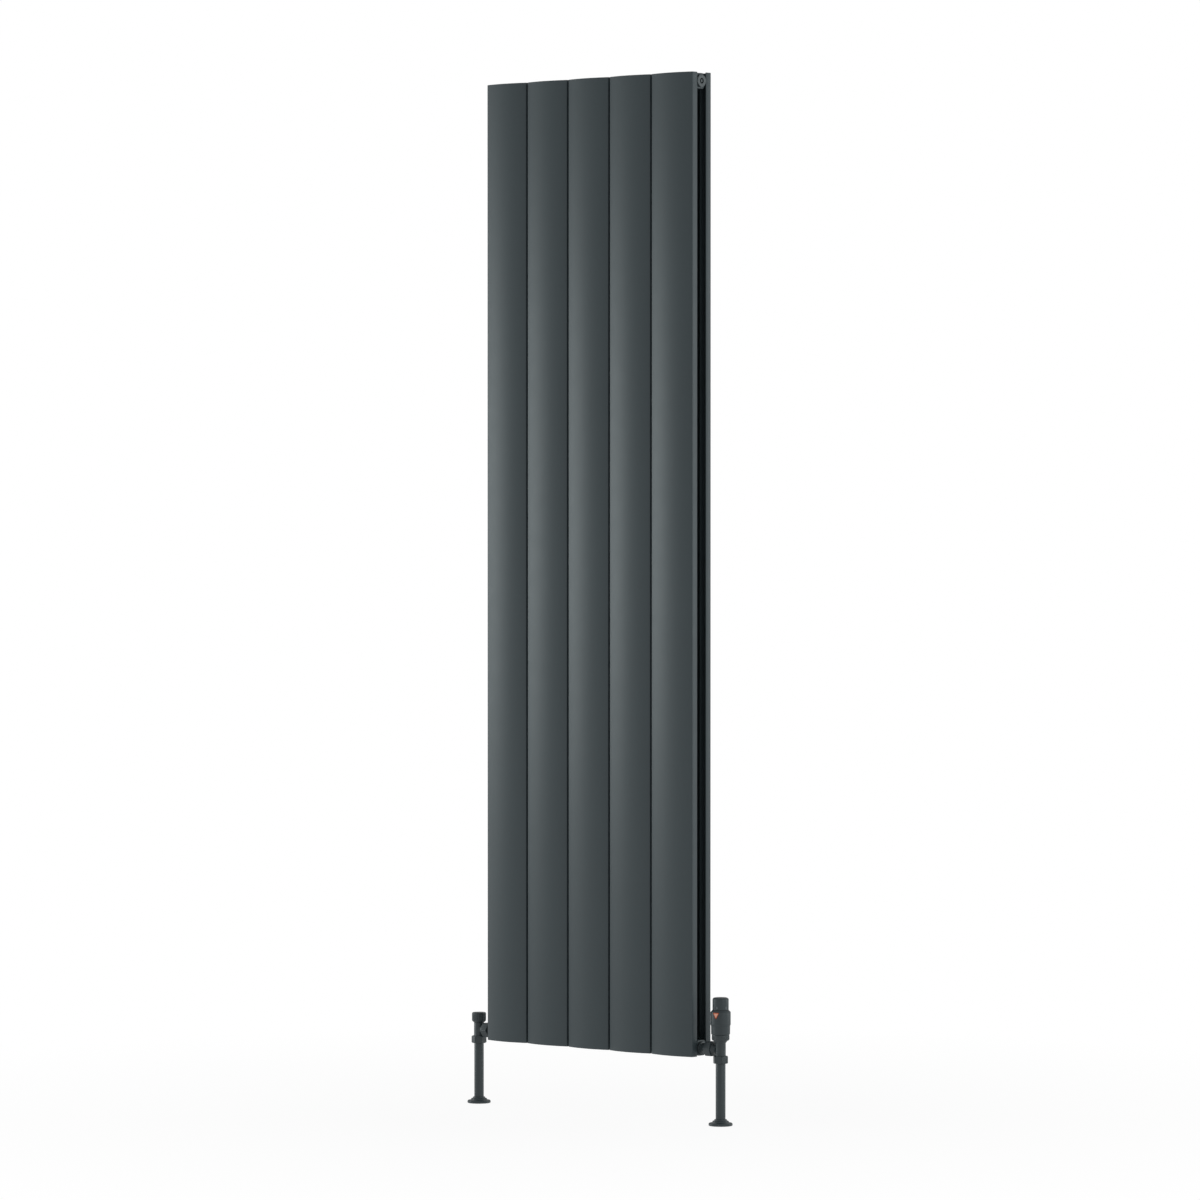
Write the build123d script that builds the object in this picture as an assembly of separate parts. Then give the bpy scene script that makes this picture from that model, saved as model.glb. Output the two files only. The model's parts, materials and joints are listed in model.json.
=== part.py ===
from build123d import *
import math
import os

# Vertical double-panel aluminium radiator with its lockshield valve, thermostatic valve,
# pipe sleeves, floor collars and wall brackets. Millimetres.
# X runs along the width, the front faces -Y, and the wall is the plane y = 0.
# The origin is the middle of the four wall fixing holes, at the radiator's mid-height.

# ---- driving dimensions: panels ----
SECTIONS = 5
SECTION_WIDTH = 100.0
SECTION_GAP = 4.0
HEIGHT = 1800.0
CROWN = 8.2                 # how far a section's face bows out over its edges
RETURN = 13.4               # depth of a section's folded-back side
PANEL_SPACE = 24.3          # clear space between the front and back sections' sides
WALL_SPACE = 28.0           # from the wall to the crown of the back sections
SKIN = 2.0
SIDE = 1.8
EDGE_ROUND = 1.6
CHANNEL_WIDTH = 24.0
CHANNEL_WALL = 2.0
CHANNEL_SET_BACK = 0.6      # how far the channel's front lies behind the skin's inner face
CHANNEL_ROUND = 2.0
FIN_OFFSET = 31.0
FIN_THICKNESS = 1.4
FIN_END_SPACE = 4.4         # how far a fin stops short of the section's open side

# ---- driving dimensions: headers ----
PORT_INSET = 15.5           # from a panel's end to the header's centre line
HEADER_HEIGHT = 26.0
HEADER_WALL = 2.5
HEADER_ROUND = 6.0
HEADER_HALF_LENGTH = 236.0
GASKET = 1.5
BOSS_HEIGHT = 28.5
BOSS_SIDE_SPACE = 0.2
BOSS_ROUND = 7.0
NIPPLE_RADIUS = 6.0
NIPPLE_WALL = 1.4
NIPPLE_LIP = 1.2            # how far a nipple stands into the channel and the header
PLUG_THICKNESS = 4.0
PLUG_RECESS = 1.0
BAFFLE_THICKNESS = 3.0
THREAD_RADIUS = 10.3        # G 1/2
THREAD_DEPTH = 12.0
PORT_WAY_RADIUS = 7.0
BOTTOM_BOSS_FACE = 257.5
TOP_BOSS_FACE = 254.5

# ---- driving dimensions: valves ----
VALVE_OFFSET = 46.6         # from a panel's side to a valve's axis
PORT_HEIGHT = 139.5         # of the lower header's centre line above the floor
PIPE_SOCKET_RADIUS = 7.6    # for 15 mm pipe
BODY_RADIUS = 9.5
BRANCH_BORE = 5.5
CHAMBER_RADIUS = 7.0
SEAT_HEIGHT = -6.0          # heights on a valve are from the centre line of its branch
SEAT_RADIUS = 4.5
HEADWORK_RADIUS = 8.0
NUT_TOP = -12.0
SLEEVE_TOP = -25.7
SLEEVE_RADIUS = 9.0
SLEEVE_WALL = 1.2
COLLAR_RADIUS = 22.0
COLLAR_HEIGHT = 11.6

# ---- driving dimensions: fits ----
RUN = 0.06                  # radial clearance of a running fit
THREAD_PLAY = 0.05          # between a screwed pair that stays put
FACE_GAP = 0.1              # between flat faces of pieces that move on each other
BREAK = 0.6                 # broken edge of a turned flange
SHARP = 0.01                # a hexagon whose corners are left sharp

# ---- derived places ----
PITCH = SECTION_WIDTH + SECTION_GAP
HALF_WIDTH = ((SECTIONS - 1) * PITCH + SECTION_WIDTH) / 2
HALF_HEIGHT = HEIGHT / 2
BACK_EDGE_Y = -(WALL_SPACE + CROWN)
MIDDLE_Y = BACK_EDGE_Y - RETURN - PANEL_SPACE / 2
FRONT_EDGE_Y = MIDDLE_Y - PANEL_SPACE / 2 - RETURN
HEADER_Z = HALF_HEIGHT - PORT_INSET
HEADER_DEPTH = PANEL_SPACE - 2 * GASKET
VALVE_X = HALF_WIDTH + VALVE_OFFSET
FLOOR_Z = -HEADER_Z - PORT_HEIGHT
CENTRES = [(i - (SECTIONS - 1) / 2) * PITCH for i in range(SECTIONS)]


def save(name, shape):
    export_step(shape, f"parts/{name}.step")


def turned(profile, place=Location()):
    """A turned solid: (radius, height) corners swung about the local Z of place."""
    outline = Polyline(*[(r, 0, h) for r, h in profile], close=True)
    return place * revolve(make_face(outline), Axis.Z)


def ring(inner, outer, low, high, place=Location()):
    return turned([(inner, low), (outer, low), (outer, high), (inner, high)], place)


def rod(radius, low, high, place=Location()):
    return place * Pos(0, 0, (low + high) / 2) * Cylinder(radius, high - low)


def hexagon(across_flats, low, high, chamfer_depth, place=Location()):
    """A hexagonal bar with its corners turned off at both ends."""
    flat = across_flats / 2
    corner = flat / math.cos(math.pi / 6)
    bar = Pos(0, 0, low) * extrude(RegularPolygon(flat, 6, major_radius=False), high - low)
    cone = turned([(0, low), (flat, low), (corner, low + chamfer_depth),
                   (corner, high - chamfer_depth), (flat, high), (0, high)])
    return place * (bar & cone)


def block(x, y, z):
    """A box from its lowest and highest x, y and z."""
    size = [high - low for low, high in (x, y, z)]
    centre = [(high + low) / 2 for low, high in (x, y, z)]
    return Pos(*centre) * Box(*size)


def group(solids):
    return Compound(children=list(solids))


# ---------------------------------------------------------------- panel sections

def crowned_face(width, edge_y, crown_y, back_y):
    """A face bounded by a bowed front, two straight sides and a straight back."""
    half = width / 2
    bow = ThreePointArc((-half, edge_y), (0, crown_y), (half, edge_y))
    sides = Polyline((half, edge_y), (half, back_y), (-half, back_y), (-half, edge_y))
    return make_face(bow + sides)


CHANNEL_FRONT = SKIN - CROWN + CHANNEL_SET_BACK
CHANNEL_BACK = RETURN - CHANNEL_WALL
CHANNEL_INSIDE = CHANNEL_WIDTH - 2 * CHANNEL_WALL
CHANNEL_DEPTH = CHANNEL_BACK - CHANNEL_FRONT
CHANNEL_Y = (CHANNEL_BACK + CHANNEL_FRONT) / 2


def channel_face():
    return Pos(0, CHANNEL_Y) * RectangleRounded(CHANNEL_INSIDE, CHANNEL_DEPTH, CHANNEL_ROUND)


def section_face():
    """The extrusion: bowed skin, folded sides, water channel and two fins."""
    outside = crowned_face(SECTION_WIDTH, 0, -CROWN, RETURN)
    edges = [v for v in outside.vertices() if abs(v.Y) < EDGE_ROUND / 2]
    outside = fillet(edges, EDGE_ROUND)
    inside = crowned_face(SECTION_WIDTH - 2 * SIDE, SKIN, SKIN - CROWN, RETURN + SKIN)
    channel_rim = CHANNEL_FRONT - CHANNEL_WALL / 2
    channel = Pos(0, (RETURN + channel_rim) / 2) * Rectangle(CHANNEL_WIDTH, RETURN - channel_rim)
    fin_front = -CROWN / 2
    fin_back = RETURN - FIN_END_SPACE
    fin = Rectangle(FIN_THICKNESS, fin_back - fin_front)
    fins = [Pos(side * FIN_OFFSET, (fin_back + fin_front) / 2) * fin for side in (-1, 1)]
    return outside - inside + channel + fins[0] + fins[1] - channel_face()


def section():
    """One section, edges on y = 0 and crown towards -Y, with a port at each header."""
    bar = Pos(0, 0, -HALF_HEIGHT) * extrude(section_face(), HEIGHT)
    for z in (-HEADER_Z, HEADER_Z):
        across = Plane(origin=(0, CHANNEL_BACK, z), z_dir=(0, 1, 0)).location
        bar -= rod(NIPPLE_RADIUS, -CHANNEL_WALL / 2, 2 * CHANNEL_WALL, across)
    return bar


def front_place(x):
    return Pos(x, FRONT_EDGE_Y, 0)


def back_place(x):
    return Pos(x, BACK_EDGE_Y, 0) * Rot(0, 0, 180)


def save_sections():
    one = section()
    for number, x in enumerate(CENTRES, start=1):
        save(f"front_section_{number}", front_place(x) * one)
        save(f"back_section_{number}", back_place(x) * one)


def save_channel_plugs():
    """A plate closes each water channel a little inside each end."""
    plate = extrude(channel_face(), PLUG_THICKNESS)
    top = HALF_HEIGHT - PLUG_RECESS - PLUG_THICKNESS
    bottom = PLUG_RECESS - HALF_HEIGHT
    plugs = [place(x) * Pos(0, 0, z) * plate
             for place in (front_place, back_place) for x in CENTRES for z in (bottom, top)]
    save("channel_plugs", group(plugs))


# ---------------------------------------------------------------- headers

def rounded_bar(depth, height, corner, start, end, z):
    """A bar of rounded rectangular section along X."""
    plane = Plane(origin=(start, MIDDLE_Y, z), x_dir=(0, 1, 0), z_dir=(1, 0, 0))
    return extrude(plane * RectangleRounded(depth, height, corner), end - start)


def nipple_places():
    """Local Z of each place points from a header's middle to a section's channel."""
    for z in (-HEADER_Z, HEADER_Z):
        for x in CENTRES:
            for direction in (-1, 1):
                yield Plane(origin=(x, MIDDLE_Y, z), z_dir=(0, direction, 0)).location


def header(z):
    length = HEADER_HALF_LENGTH
    tube = rounded_bar(HEADER_DEPTH, HEADER_HEIGHT, HEADER_ROUND, -length, length, z)
    tube -= rounded_bar(HEADER_DEPTH - 2 * HEADER_WALL, HEADER_HEIGHT - 2 * HEADER_WALL,
                        HEADER_ROUND - HEADER_WALL, -length, length, z)
    for place in nipple_places():
        if abs(place.position.Z - z) < HEADER_HEIGHT:
            tube -= rod(NIPPLE_RADIUS, HEADER_DEPTH / 4, HEADER_DEPTH, place)
    return tube


def header_boss(side, z, face):
    """The threaded end of a header, welded to its tube."""
    inner, outer = side * HEADER_HALF_LENGTH, side * face
    depth = PANEL_SPACE - 2 * BOSS_SIDE_SPACE
    boss = rounded_bar(depth, BOSS_HEIGHT, BOSS_ROUND, min(inner, outer), max(inner, outer), z)
    port = Plane(origin=(outer, MIDDLE_Y, z), z_dir=(-side, 0, 0)).location
    boss -= rod(THREAD_RADIUS + THREAD_PLAY, 0, THREAD_DEPTH, port)
    return boss - rod(PORT_WAY_RADIUS, 0, face, port)


def save_headers():
    save("top_header", header(HEADER_Z))
    save("bottom_header", header(-HEADER_Z))
    save("top_header_bosses", group(header_boss(s, HEADER_Z, TOP_BOSS_FACE) for s in (-1, 1)))
    save("bottom_header_bosses",
         group(header_boss(s, -HEADER_Z, BOTTOM_BOSS_FACE) for s in (-1, 1)))


def save_nipples():
    """Short tubes join the headers to the channels, each through a flat gasket."""
    low = HEADER_DEPTH / 2 - HEADER_WALL - NIPPLE_LIP
    high = PANEL_SPACE / 2 + CHANNEL_WALL + NIPPLE_LIP
    bore = NIPPLE_RADIUS - NIPPLE_WALL
    gasket_radius = NIPPLE_RADIUS + 3 * GASKET
    save("section_nipples",
         group(ring(bore, NIPPLE_RADIUS, low, high, place) for place in nipple_places()))
    save("nipple_gaskets",
         group(ring(NIPPLE_RADIUS, gasket_radius, HEADER_DEPTH / 2, PANEL_SPACE / 2, place)
               for place in nipple_places()))


def save_flow_baffle():
    """Blocks the lower header beside the last section, so that water climbs it first."""
    x = (CENTRES[-1] + CENTRES[-2]) / 2
    save("flow_baffle", rounded_bar(
        HEADER_DEPTH - 2 * HEADER_WALL, HEADER_HEIGHT - 2 * HEADER_WALL,
        HEADER_ROUND - HEADER_WALL, x - BAFFLE_THICKNESS / 2, x + BAFFLE_THICKNESS / 2, -HEADER_Z))


# ---------------------------------------------------------------- upper port fittings

SEAL_THICKNESS = 1.5
FLANGE_RADIUS = 11.6
PLUG_FLANGE = 2.4
PLUG_LENGTH = 10.0
PLUG_KEY = 10.0             # hexagon recess across flats
PLUG_KEY_DEPTH = 6.0
VENT_SCREW_RADIUS = 3.0
VENT_SCREW_LENGTH = 8.0
VENT_RECESS_RADIUS = 5.0
VENT_RECESS_DEPTH = 4.5
VENT_KEY = 5.0              # square for a bleed key
VENT_KEY_LENGTH = 4.0
VENT_HOLE_RADIUS = 1.2


def top_port(side):
    """Local Z points out of the upper header's end, from the face of its boss."""
    return Plane(origin=(side * TOP_BOSS_FACE, MIDDLE_Y, HEADER_Z), z_dir=(side, 0, 0)).location


def port_plug():
    flange_top = SEAL_THICKNESS + PLUG_FLANGE
    return turned([(0, -PLUG_LENGTH), (THREAD_RADIUS, -PLUG_LENGTH), (THREAD_RADIUS, SEAL_THICKNESS),
                   (FLANGE_RADIUS, SEAL_THICKNESS), (FLANGE_RADIUS, flange_top - BREAK),
                   (FLANGE_RADIUS - BREAK, flange_top), (0, flange_top)])


def save_port_fittings():
    top = SEAL_THICKNESS + PLUG_FLANGE
    key = hexagon(PLUG_KEY, top - PLUG_KEY_DEPTH, top, SHARP)
    save("blanking_plug", top_port(-1) * (port_plug() - key))
    screw_hole = VENT_SCREW_RADIUS + RUN
    vent = port_plug() - rod(VENT_RECESS_RADIUS, top - VENT_RECESS_DEPTH, top)
    screw_low = top - VENT_RECESS_DEPTH - VENT_SCREW_LENGTH
    vent -= rod(screw_hole, screw_low - FACE_GAP, top)
    vent -= rod(VENT_HOLE_RADIUS, -PLUG_LENGTH, top)
    save("air_vent_plug", top_port(1) * vent)
    shank = rod(VENT_SCREW_RADIUS, screw_low, top - VENT_RECESS_DEPTH)
    stub_size = (VENT_KEY, VENT_KEY, VENT_KEY_LENGTH)
    stub = Pos(0, 0, top - VENT_RECESS_DEPTH + VENT_KEY_LENGTH / 2) * Box(*stub_size)
    save("air_vent_screw", top_port(1) * (shank + stub))


# ---------------------------------------------------------------- wall brackets

BRACKET_X = (CENTRES[-1] + CENTRES[-2]) / 2
PLATE_THICKNESS = 3.0
ARM_THICKNESS = 2.5
PLATE_WIDTH = 38.0
PLATE_LOW = 842.0
PLATE_HIGH = 884.0
LEG_REACH = 26.0
FIXING_X = 134.0
FIXING_Z = (PLATE_LOW + PLATE_HIGH) / 2
FIXING_RADIUS = 3.25
PAD = 1.5
PAD_WIDTH = 3.4
BOLT_RADIUS = 2.5
BOLT_Y = -15.0
BOLT_HEAD_RADIUS = 4.5
BOLT_HEAD_HEIGHT = 3.5
BOLT_KEY = 4.0              # hexagon recess across flats
BOLT_KEY_FLOOR = 1.0        # metal left under the recess
BOLT_SPACING = 22.0
BOLT_NUT = 8.0              # across flats
BOLT_NUT_HEIGHT = 4.0
BOLT_NUT_CHAMFER = 0.4
BEND_ROUND = 2.8
ARM_STEP = 2.0              # the arm's edges stand inside the leg's by this much
ARM_CLEARANCE = 1.0         # between the arm and the plate's foot
ARM_NECK = 4.0              # the arm narrows over this length past the leg
HOOK_DEPTH = 7.0
HOOK_TIP = 5.6


def mirrored(shape, side, end):
    """The bracket pieces are drawn for the top right and mirrored to the other corners."""
    if side < 0:
        shape = mirror(shape, Plane.YZ)
    if end < 0:
        shape = mirror(shape, Plane.XY)
    return shape


def bolt_places():
    for offset in (-BOLT_SPACING / 2, BOLT_SPACING / 2):
        yield Plane(origin=(BRACKET_X, BOLT_Y, FIXING_Z + offset), z_dir=(-1, 0, 0)).location


def wall_plate():
    arm_side = BRACKET_X - ARM_THICKNESS / 2
    leg_side = arm_side - PLATE_THICKNESS
    heights = (PLATE_LOW, PLATE_HIGH)
    foot = block((arm_side - PLATE_WIDTH, arm_side), (-PLATE_THICKNESS, 0), heights)
    leg = block((leg_side, arm_side), (-LEG_REACH, 0), heights)
    plate = foot + leg
    bend = [e for e in plate.edges().filter_by(Axis.Z)
            if abs(e.center().X - arm_side) < 0.01 and abs(e.center().Y) < 0.01]
    plate = fillet(bend, BEND_ROUND)
    hole = Plane(origin=(FIXING_X, 0, FIXING_Z), z_dir=(0, -1, 0)).location
    plate -= rod(FIXING_RADIUS, -PLATE_THICKNESS, 2 * PLATE_THICKNESS, hole)
    for place in bolt_places():
        plate -= rod(BOLT_RADIUS + THREAD_PLAY, 0, PLATE_WIDTH / 2, place)
    return plate


def hook_arm():
    """A flat plate that passes between two back sections and hooks under the header."""
    header_back = MIDDLE_Y + HEADER_DEPTH / 2 + PAD
    header_front = MIDDLE_Y - HEADER_DEPTH / 2 - PAD
    header_low = HEADER_Z - HEADER_HEIGHT / 2 - PAD
    neck_low = header_low - HOOK_DEPTH
    tip_front = header_front - HOOK_TIP
    root = -PLATE_THICKNESS - ARM_CLEARANCE
    low, high = PLATE_LOW + ARM_STEP, PLATE_HIGH - ARM_STEP
    tip_top = header_low + 2 * HOOK_DEPTH
    outline = Polyline(
        (root, low), (root, high), (header_back, high), (header_back, header_low),
        (header_front, header_low), (header_front, tip_top), (tip_front, tip_top),
        (tip_front, neck_low), (-LEG_REACH - ARM_NECK, neck_low), (-LEG_REACH, low), close=True)
    plane = Plane(origin=(BRACKET_X - ARM_THICKNESS / 2, 0, 0), x_dir=(0, 1, 0), z_dir=(1, 0, 0))
    arm = extrude(plane * make_face(outline), ARM_THICKNESS)
    for place in bolt_places():
        arm -= rod(BOLT_RADIUS + THREAD_PLAY, -PLATE_THICKNESS, PLATE_THICKNESS, place)
    return arm


def pad():
    """A plastic strip round the hook keeps it off the painted header."""
    widths = (BRACKET_X - PAD_WIDTH / 2, BRACKET_X + PAD_WIDTH / 2)
    back, front = MIDDLE_Y + HEADER_DEPTH / 2, MIDDLE_Y - HEADER_DEPTH / 2
    low = HEADER_Z - HEADER_HEIGHT / 2
    outer = block(widths, (front - PAD, back + PAD), (low - PAD, low + HOOK_DEPTH))
    return outer - block(widths, (front, back), (low, low + 2 * HOOK_DEPTH))


def bracket_bolt():
    stack = ARM_THICKNESS / 2
    head_face = -stack - BOLT_HEAD_HEIGHT
    shank = rod(BOLT_RADIUS, -stack, stack + 2 * PLATE_THICKNESS + BOLT_NUT_HEIGHT)
    head = rod(BOLT_HEAD_RADIUS, head_face, -stack)
    return shank + head - hexagon(BOLT_KEY, head_face, -stack - BOLT_KEY_FLOOR, SHARP)


def bracket_nut():
    low = ARM_THICKNESS / 2 + PLATE_THICKNESS
    nut = hexagon(BOLT_NUT, low, low + BOLT_NUT_HEIGHT, BOLT_NUT_CHAMFER)
    return nut - rod(BOLT_RADIUS + THREAD_PLAY, 0, PLATE_WIDTH / 2)


def save_brackets():
    corners = {"top_left": (-1, 1), "top_right": (1, 1),
               "bottom_left": (-1, -1), "bottom_right": (1, -1)}
    bolts, nuts, pads = [], [], []
    for name, (side, end) in corners.items():
        save(f"{name}_wall_plate", mirrored(wall_plate(), side, end))
        save(f"{name}_hook_arm", mirrored(hook_arm(), side, end))
        pads.append(mirrored(pad(), side, end))
        for place in bolt_places():
            bolts.append(mirrored(place * bracket_bolt(), side, end))
            nuts.append(mirrored(place * bracket_nut(), side, end))
    save("bracket_bolts", group(bolts))
    save("bracket_nuts", group(nuts))
    save("hook_pads", group(pads))


# ---------------------------------------------------------------- valve unions and pipe joints

UNION_THREAD = 10.6
BRANCH_FACE = 25.4          # distances along a branch are from the valve's axis
UNION_NUT = 26.5            # across flats
UNION_NUT_START = 16.5
UNION_NUT_LIP = 28.4
UNION_NUT_END = 31.5
UNION_NUT_CHAMFER = 1.2
UNION_HOLE_RADIUS = 9.1
TAIL_RADIUS = 9.0
TAIL_HEAD_RADIUS = 10.4
TAIL_HEAD = 2.8
TAIL_FLANGE_EDGE = 2.4
COMPRESSION_NUT = 25.0      # across flats
COMPRESSION_NUT_CHAMFER = 1.6
NUT_HOLE_RADIUS = 8.2       # clears the pipe, so that the olive alone grips it
THREAD_FOOT = -19.5
FOOT_RADIUS = 9.9
OLIVE_LENGTH = 3.5
OLIVE_RADIUS = 9.4
OLIVE_END = 1.0             # wall of the olive at its ends
OLIVE_BAND = 1.0            # flat band round its middle
TAIL_SEAL_FACE = BOTTOM_BOSS_FACE
SHANK_TOP = -11.2           # the threaded shank meets the body above the nut
BODY_LOW = -10.4
SOCKET_DEPTH = 10.0
INLET_RADIUS = 6.0
SEAT_DEPTH = 2.0
BRANCH_PROFILE = [(7.6, 0), (8.2, 11), (10.2, 16), (UNION_THREAD, 16.2), (UNION_THREAD, BRANCH_FACE)]


def valve_place(side):
    return Pos(side * VALVE_X, MIDDLE_Y, -HEADER_Z)


def branch_place(side):
    """Local Z points from the valve's axis to the radiator."""
    return Plane(origin=(side * VALVE_X, MIDDLE_Y, -HEADER_Z), z_dir=(-side, 0, 0)).location


def union_nut():
    nut = hexagon(UNION_NUT, UNION_NUT_START, UNION_NUT_END, UNION_NUT_CHAMFER)
    nut -= rod(UNION_THREAD + THREAD_PLAY, UNION_NUT_START, UNION_NUT_LIP)
    return nut - rod(UNION_HOLE_RADIUS, UNION_NUT_START, UNION_NUT_END)


def valve_tail():
    """The tailpiece: held by the union nut at one end, screwed into the header at the other."""
    boss_face = VALVE_X - TAIL_SEAL_FACE
    flange = boss_face - SEAL_THICKNESS
    flange_edge = flange - TAIL_FLANGE_EDGE
    seat = BRANCH_FACE + FACE_GAP
    return turned([(BRANCH_BORE, seat), (TAIL_HEAD_RADIUS, seat), (TAIL_HEAD_RADIUS, seat + TAIL_HEAD),
                   (TAIL_RADIUS, seat + TAIL_HEAD), (TAIL_RADIUS, flange_edge - BREAK),
                   (FLANGE_RADIUS - BREAK, flange_edge - BREAK), (FLANGE_RADIUS, flange_edge),
                   (FLANGE_RADIUS, flange), (THREAD_RADIUS, flange),
                   (THREAD_RADIUS, boss_face + PLUG_LENGTH), (BRANCH_BORE, boss_face + PLUG_LENGTH)])


def compression_nut():
    nut = hexagon(COMPRESSION_NUT, SLEEVE_TOP, NUT_TOP, COMPRESSION_NUT_CHAMFER)
    nut -= rod(FOOT_RADIUS + THREAD_PLAY, THREAD_FOOT - OLIVE_LENGTH, NUT_TOP)
    return nut - rod(NUT_HOLE_RADIUS, SLEEVE_TOP, NUT_TOP)


def olive():
    low, high = THREAD_FOOT - OLIVE_LENGTH, THREAD_FOOT
    middle = (low + high) / 2
    inner = PIPE_SOCKET_RADIUS
    end = inner + OLIVE_END
    return turned([(inner, low), (end, low), (OLIVE_RADIUS, middle - OLIVE_BAND / 2),
                   (OLIVE_RADIUS, middle + OLIVE_BAND / 2), (end, high), (inner, high)])


def save_unions():
    sides = (-1, 1)
    save("union_nuts", group(branch_place(s) * union_nut() for s in sides))
    save("valve_tails", group(branch_place(s) * valve_tail() for s in sides))
    save("compression_nuts", group(valve_place(s) * compression_nut() for s in sides))
    save("compression_olives", group(valve_place(s) * olive() for s in sides))
    seal = ring(THREAD_RADIUS + THREAD_PLAY, FLANGE_RADIUS, 0, SEAL_THICKNESS)
    seals = [top_port(s) * seal for s in sides]
    for s in sides:
        outward = Plane(origin=(s * TAIL_SEAL_FACE, MIDDLE_Y, -HEADER_Z), z_dir=(s, 0, 0))
        seals.append(outward.location * seal)
    save("port_seals", group(seals))


def valve_body(upper, top, headwork_depth):
    """An angle body: pipe socket below, branch to the radiator, seat between them.

    upper lists the outer corners above the branch, and top is the body's upper face."""
    outer = turned([(0, THREAD_FOOT), (FOOT_RADIUS, THREAD_FOOT), (FOOT_RADIUS, SHANK_TOP),
                    (BODY_RADIUS, BODY_LOW)] + upper + [(0, top)])
    to_radiator = Plane(origin=(0, 0, 0), z_dir=(1, 0, 0)).location
    outer += turned([(0, 0)] + BRANCH_PROFILE + [(0, BRANCH_FACE)], to_radiator)
    socket_end = THREAD_FOOT + SOCKET_DEPTH
    seat_low = SEAT_HEIGHT - SEAT_DEPTH
    headwork_foot = top - headwork_depth
    inside = turned([(0, THREAD_FOOT), (PIPE_SOCKET_RADIUS, THREAD_FOOT), (PIPE_SOCKET_RADIUS, socket_end),
                     (INLET_RADIUS, socket_end), (INLET_RADIUS, seat_low), (SEAT_RADIUS, seat_low),
                     (SEAT_RADIUS, SEAT_HEIGHT), (CHAMBER_RADIUS, SEAT_HEIGHT),
                     (CHAMBER_RADIUS, headwork_foot), (HEADWORK_RADIUS, headwork_foot),
                     (HEADWORK_RADIUS, top), (0, top)])
    return outer - inside - rod(BRANCH_BORE, 0, BRANCH_FACE, to_radiator)


def facing(side):
    """Turns a valve drawn with its branch on +X to face the radiator."""
    return valve_place(side) * Rot(0, 0, 180 if side > 0 else 0)


# ---------------------------------------------------------------- lockshield valve, on the left

LOCK_TOP = 12.0
LOCK_HEADWORK_DEPTH = 5.5
SPINDLE_RADIUS = 3.0
SPINDLE_SQUARE = 4.2
LOCK_LIFT = 1.0             # the plug's height over its seat at rest
WASHER = 1.4
WASHER_RADIUS = 5.6
DISC_RADIUS = 5.4           # of the metal that carries a seat washer
GLAND_LENGTH = 2.0
GLAND_WALL = 1.8
LOCK_GLAND = 15.0
LOCK_LIP = LOCK_TOP + 1.2
LOCK_BUSH_TOP = LOCK_TOP + 8.0
LOCK_THREAD_TOP = 2.6       # end of the plug's hole for the spindle's thread
LOCK_THREAD_FOOT = -1.7
LOCK_THREAD_RADIUS = 2.0
SPINDLE_COLLAR_RADIUS = 4.6
SPINDLE_COLLAR = 2.0
SPINDLE_TOP = LOCK_TOP + 9.0
SQUARE_TOP = LOCK_TOP + 15.0
CAP_TOP = 32.3
CAP_RADIUS = 13.4
CAP_NECK = 6.4
CAP_FOOT_RADIUS = 10.2
CAP_FOOT_SLOPE = 2.8
CAP_RIM = [(CAP_RADIUS, CAP_TOP - 1.4), (CAP_RADIUS - 0.4, CAP_TOP - 0.5), (CAP_RADIUS - 1.3, CAP_TOP)]
CAP_ROOF = 4.0
CAP_BORE_TOP = LOCK_TOP + 8.6
CAP_FLUTES = 26
CAP_FLUTE_RADIUS = 0.9
CAP_FLUTE_CENTRE = CAP_RADIUS + 0.5
CAP_FLUTE_LOW = 16.7
CAP_FLUTE_HIGH = 30.1


def lockshield_headwork():
    thread = HEADWORK_RADIUS - THREAD_PLAY
    bore = SPINDLE_RADIUS + RUN
    foot = LOCK_TOP - LOCK_HEADWORK_DEPTH
    bush = turned([(bore, foot), (thread, foot), (thread, LOCK_TOP), (BODY_RADIUS, LOCK_TOP),
                   (BODY_RADIUS, LOCK_LIP), (CAP_NECK, LOCK_LIP), (CAP_NECK, LOCK_BUSH_TOP),
                   (bore, LOCK_BUSH_TOP)])
    return bush - ring(bore, bore + GLAND_WALL, LOCK_GLAND, LOCK_GLAND + GLAND_LENGTH)


def lockshield_spindle():
    foot = LOCK_TOP - LOCK_HEADWORK_DEPTH - FACE_GAP
    collar = foot - SPINDLE_COLLAR
    shaft = turned([(0, 0), (LOCK_THREAD_RADIUS, 0), (LOCK_THREAD_RADIUS, collar),
                    (SPINDLE_COLLAR_RADIUS, collar), (SPINDLE_COLLAR_RADIUS, foot),
                    (SPINDLE_RADIUS, foot), (SPINDLE_RADIUS, SPINDLE_TOP), (0, SPINDLE_TOP)])
    across = (-SPINDLE_SQUARE / 2, SPINDLE_SQUARE / 2)
    return shaft + block(across, across, (SPINDLE_TOP, SQUARE_TOP))


def lockshield_plug():
    low = SEAT_HEIGHT + LOCK_LIFT + WASHER
    hole = rod(LOCK_THREAD_RADIUS + RUN, LOCK_THREAD_FOOT, LOCK_THREAD_TOP)
    return rod(DISC_RADIUS, low, LOCK_THREAD_TOP) - hole


def lockshield_cap():
    """A fluted push-on cap over the spindle."""
    low = LOCK_LIP + FACE_GAP
    cap = turned([(0, low), (CAP_FOOT_RADIUS, low), (CAP_RADIUS, low + CAP_FOOT_SLOPE)]
                 + CAP_RIM + [(0, CAP_TOP)])
    cap -= rod(CAP_NECK + RUN, low, CAP_BORE_TOP)
    cap -= rod(SPINDLE_COLLAR_RADIUS, low, CAP_TOP - CAP_ROOF)
    flute = Pos(CAP_FLUTE_CENTRE, 0, 0) * rod(CAP_FLUTE_RADIUS, CAP_FLUTE_LOW, CAP_FLUTE_HIGH)
    for i in range(CAP_FLUTES):
        cap -= Rot(0, 0, i * 360 / CAP_FLUTES) * flute
    return cap


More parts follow.
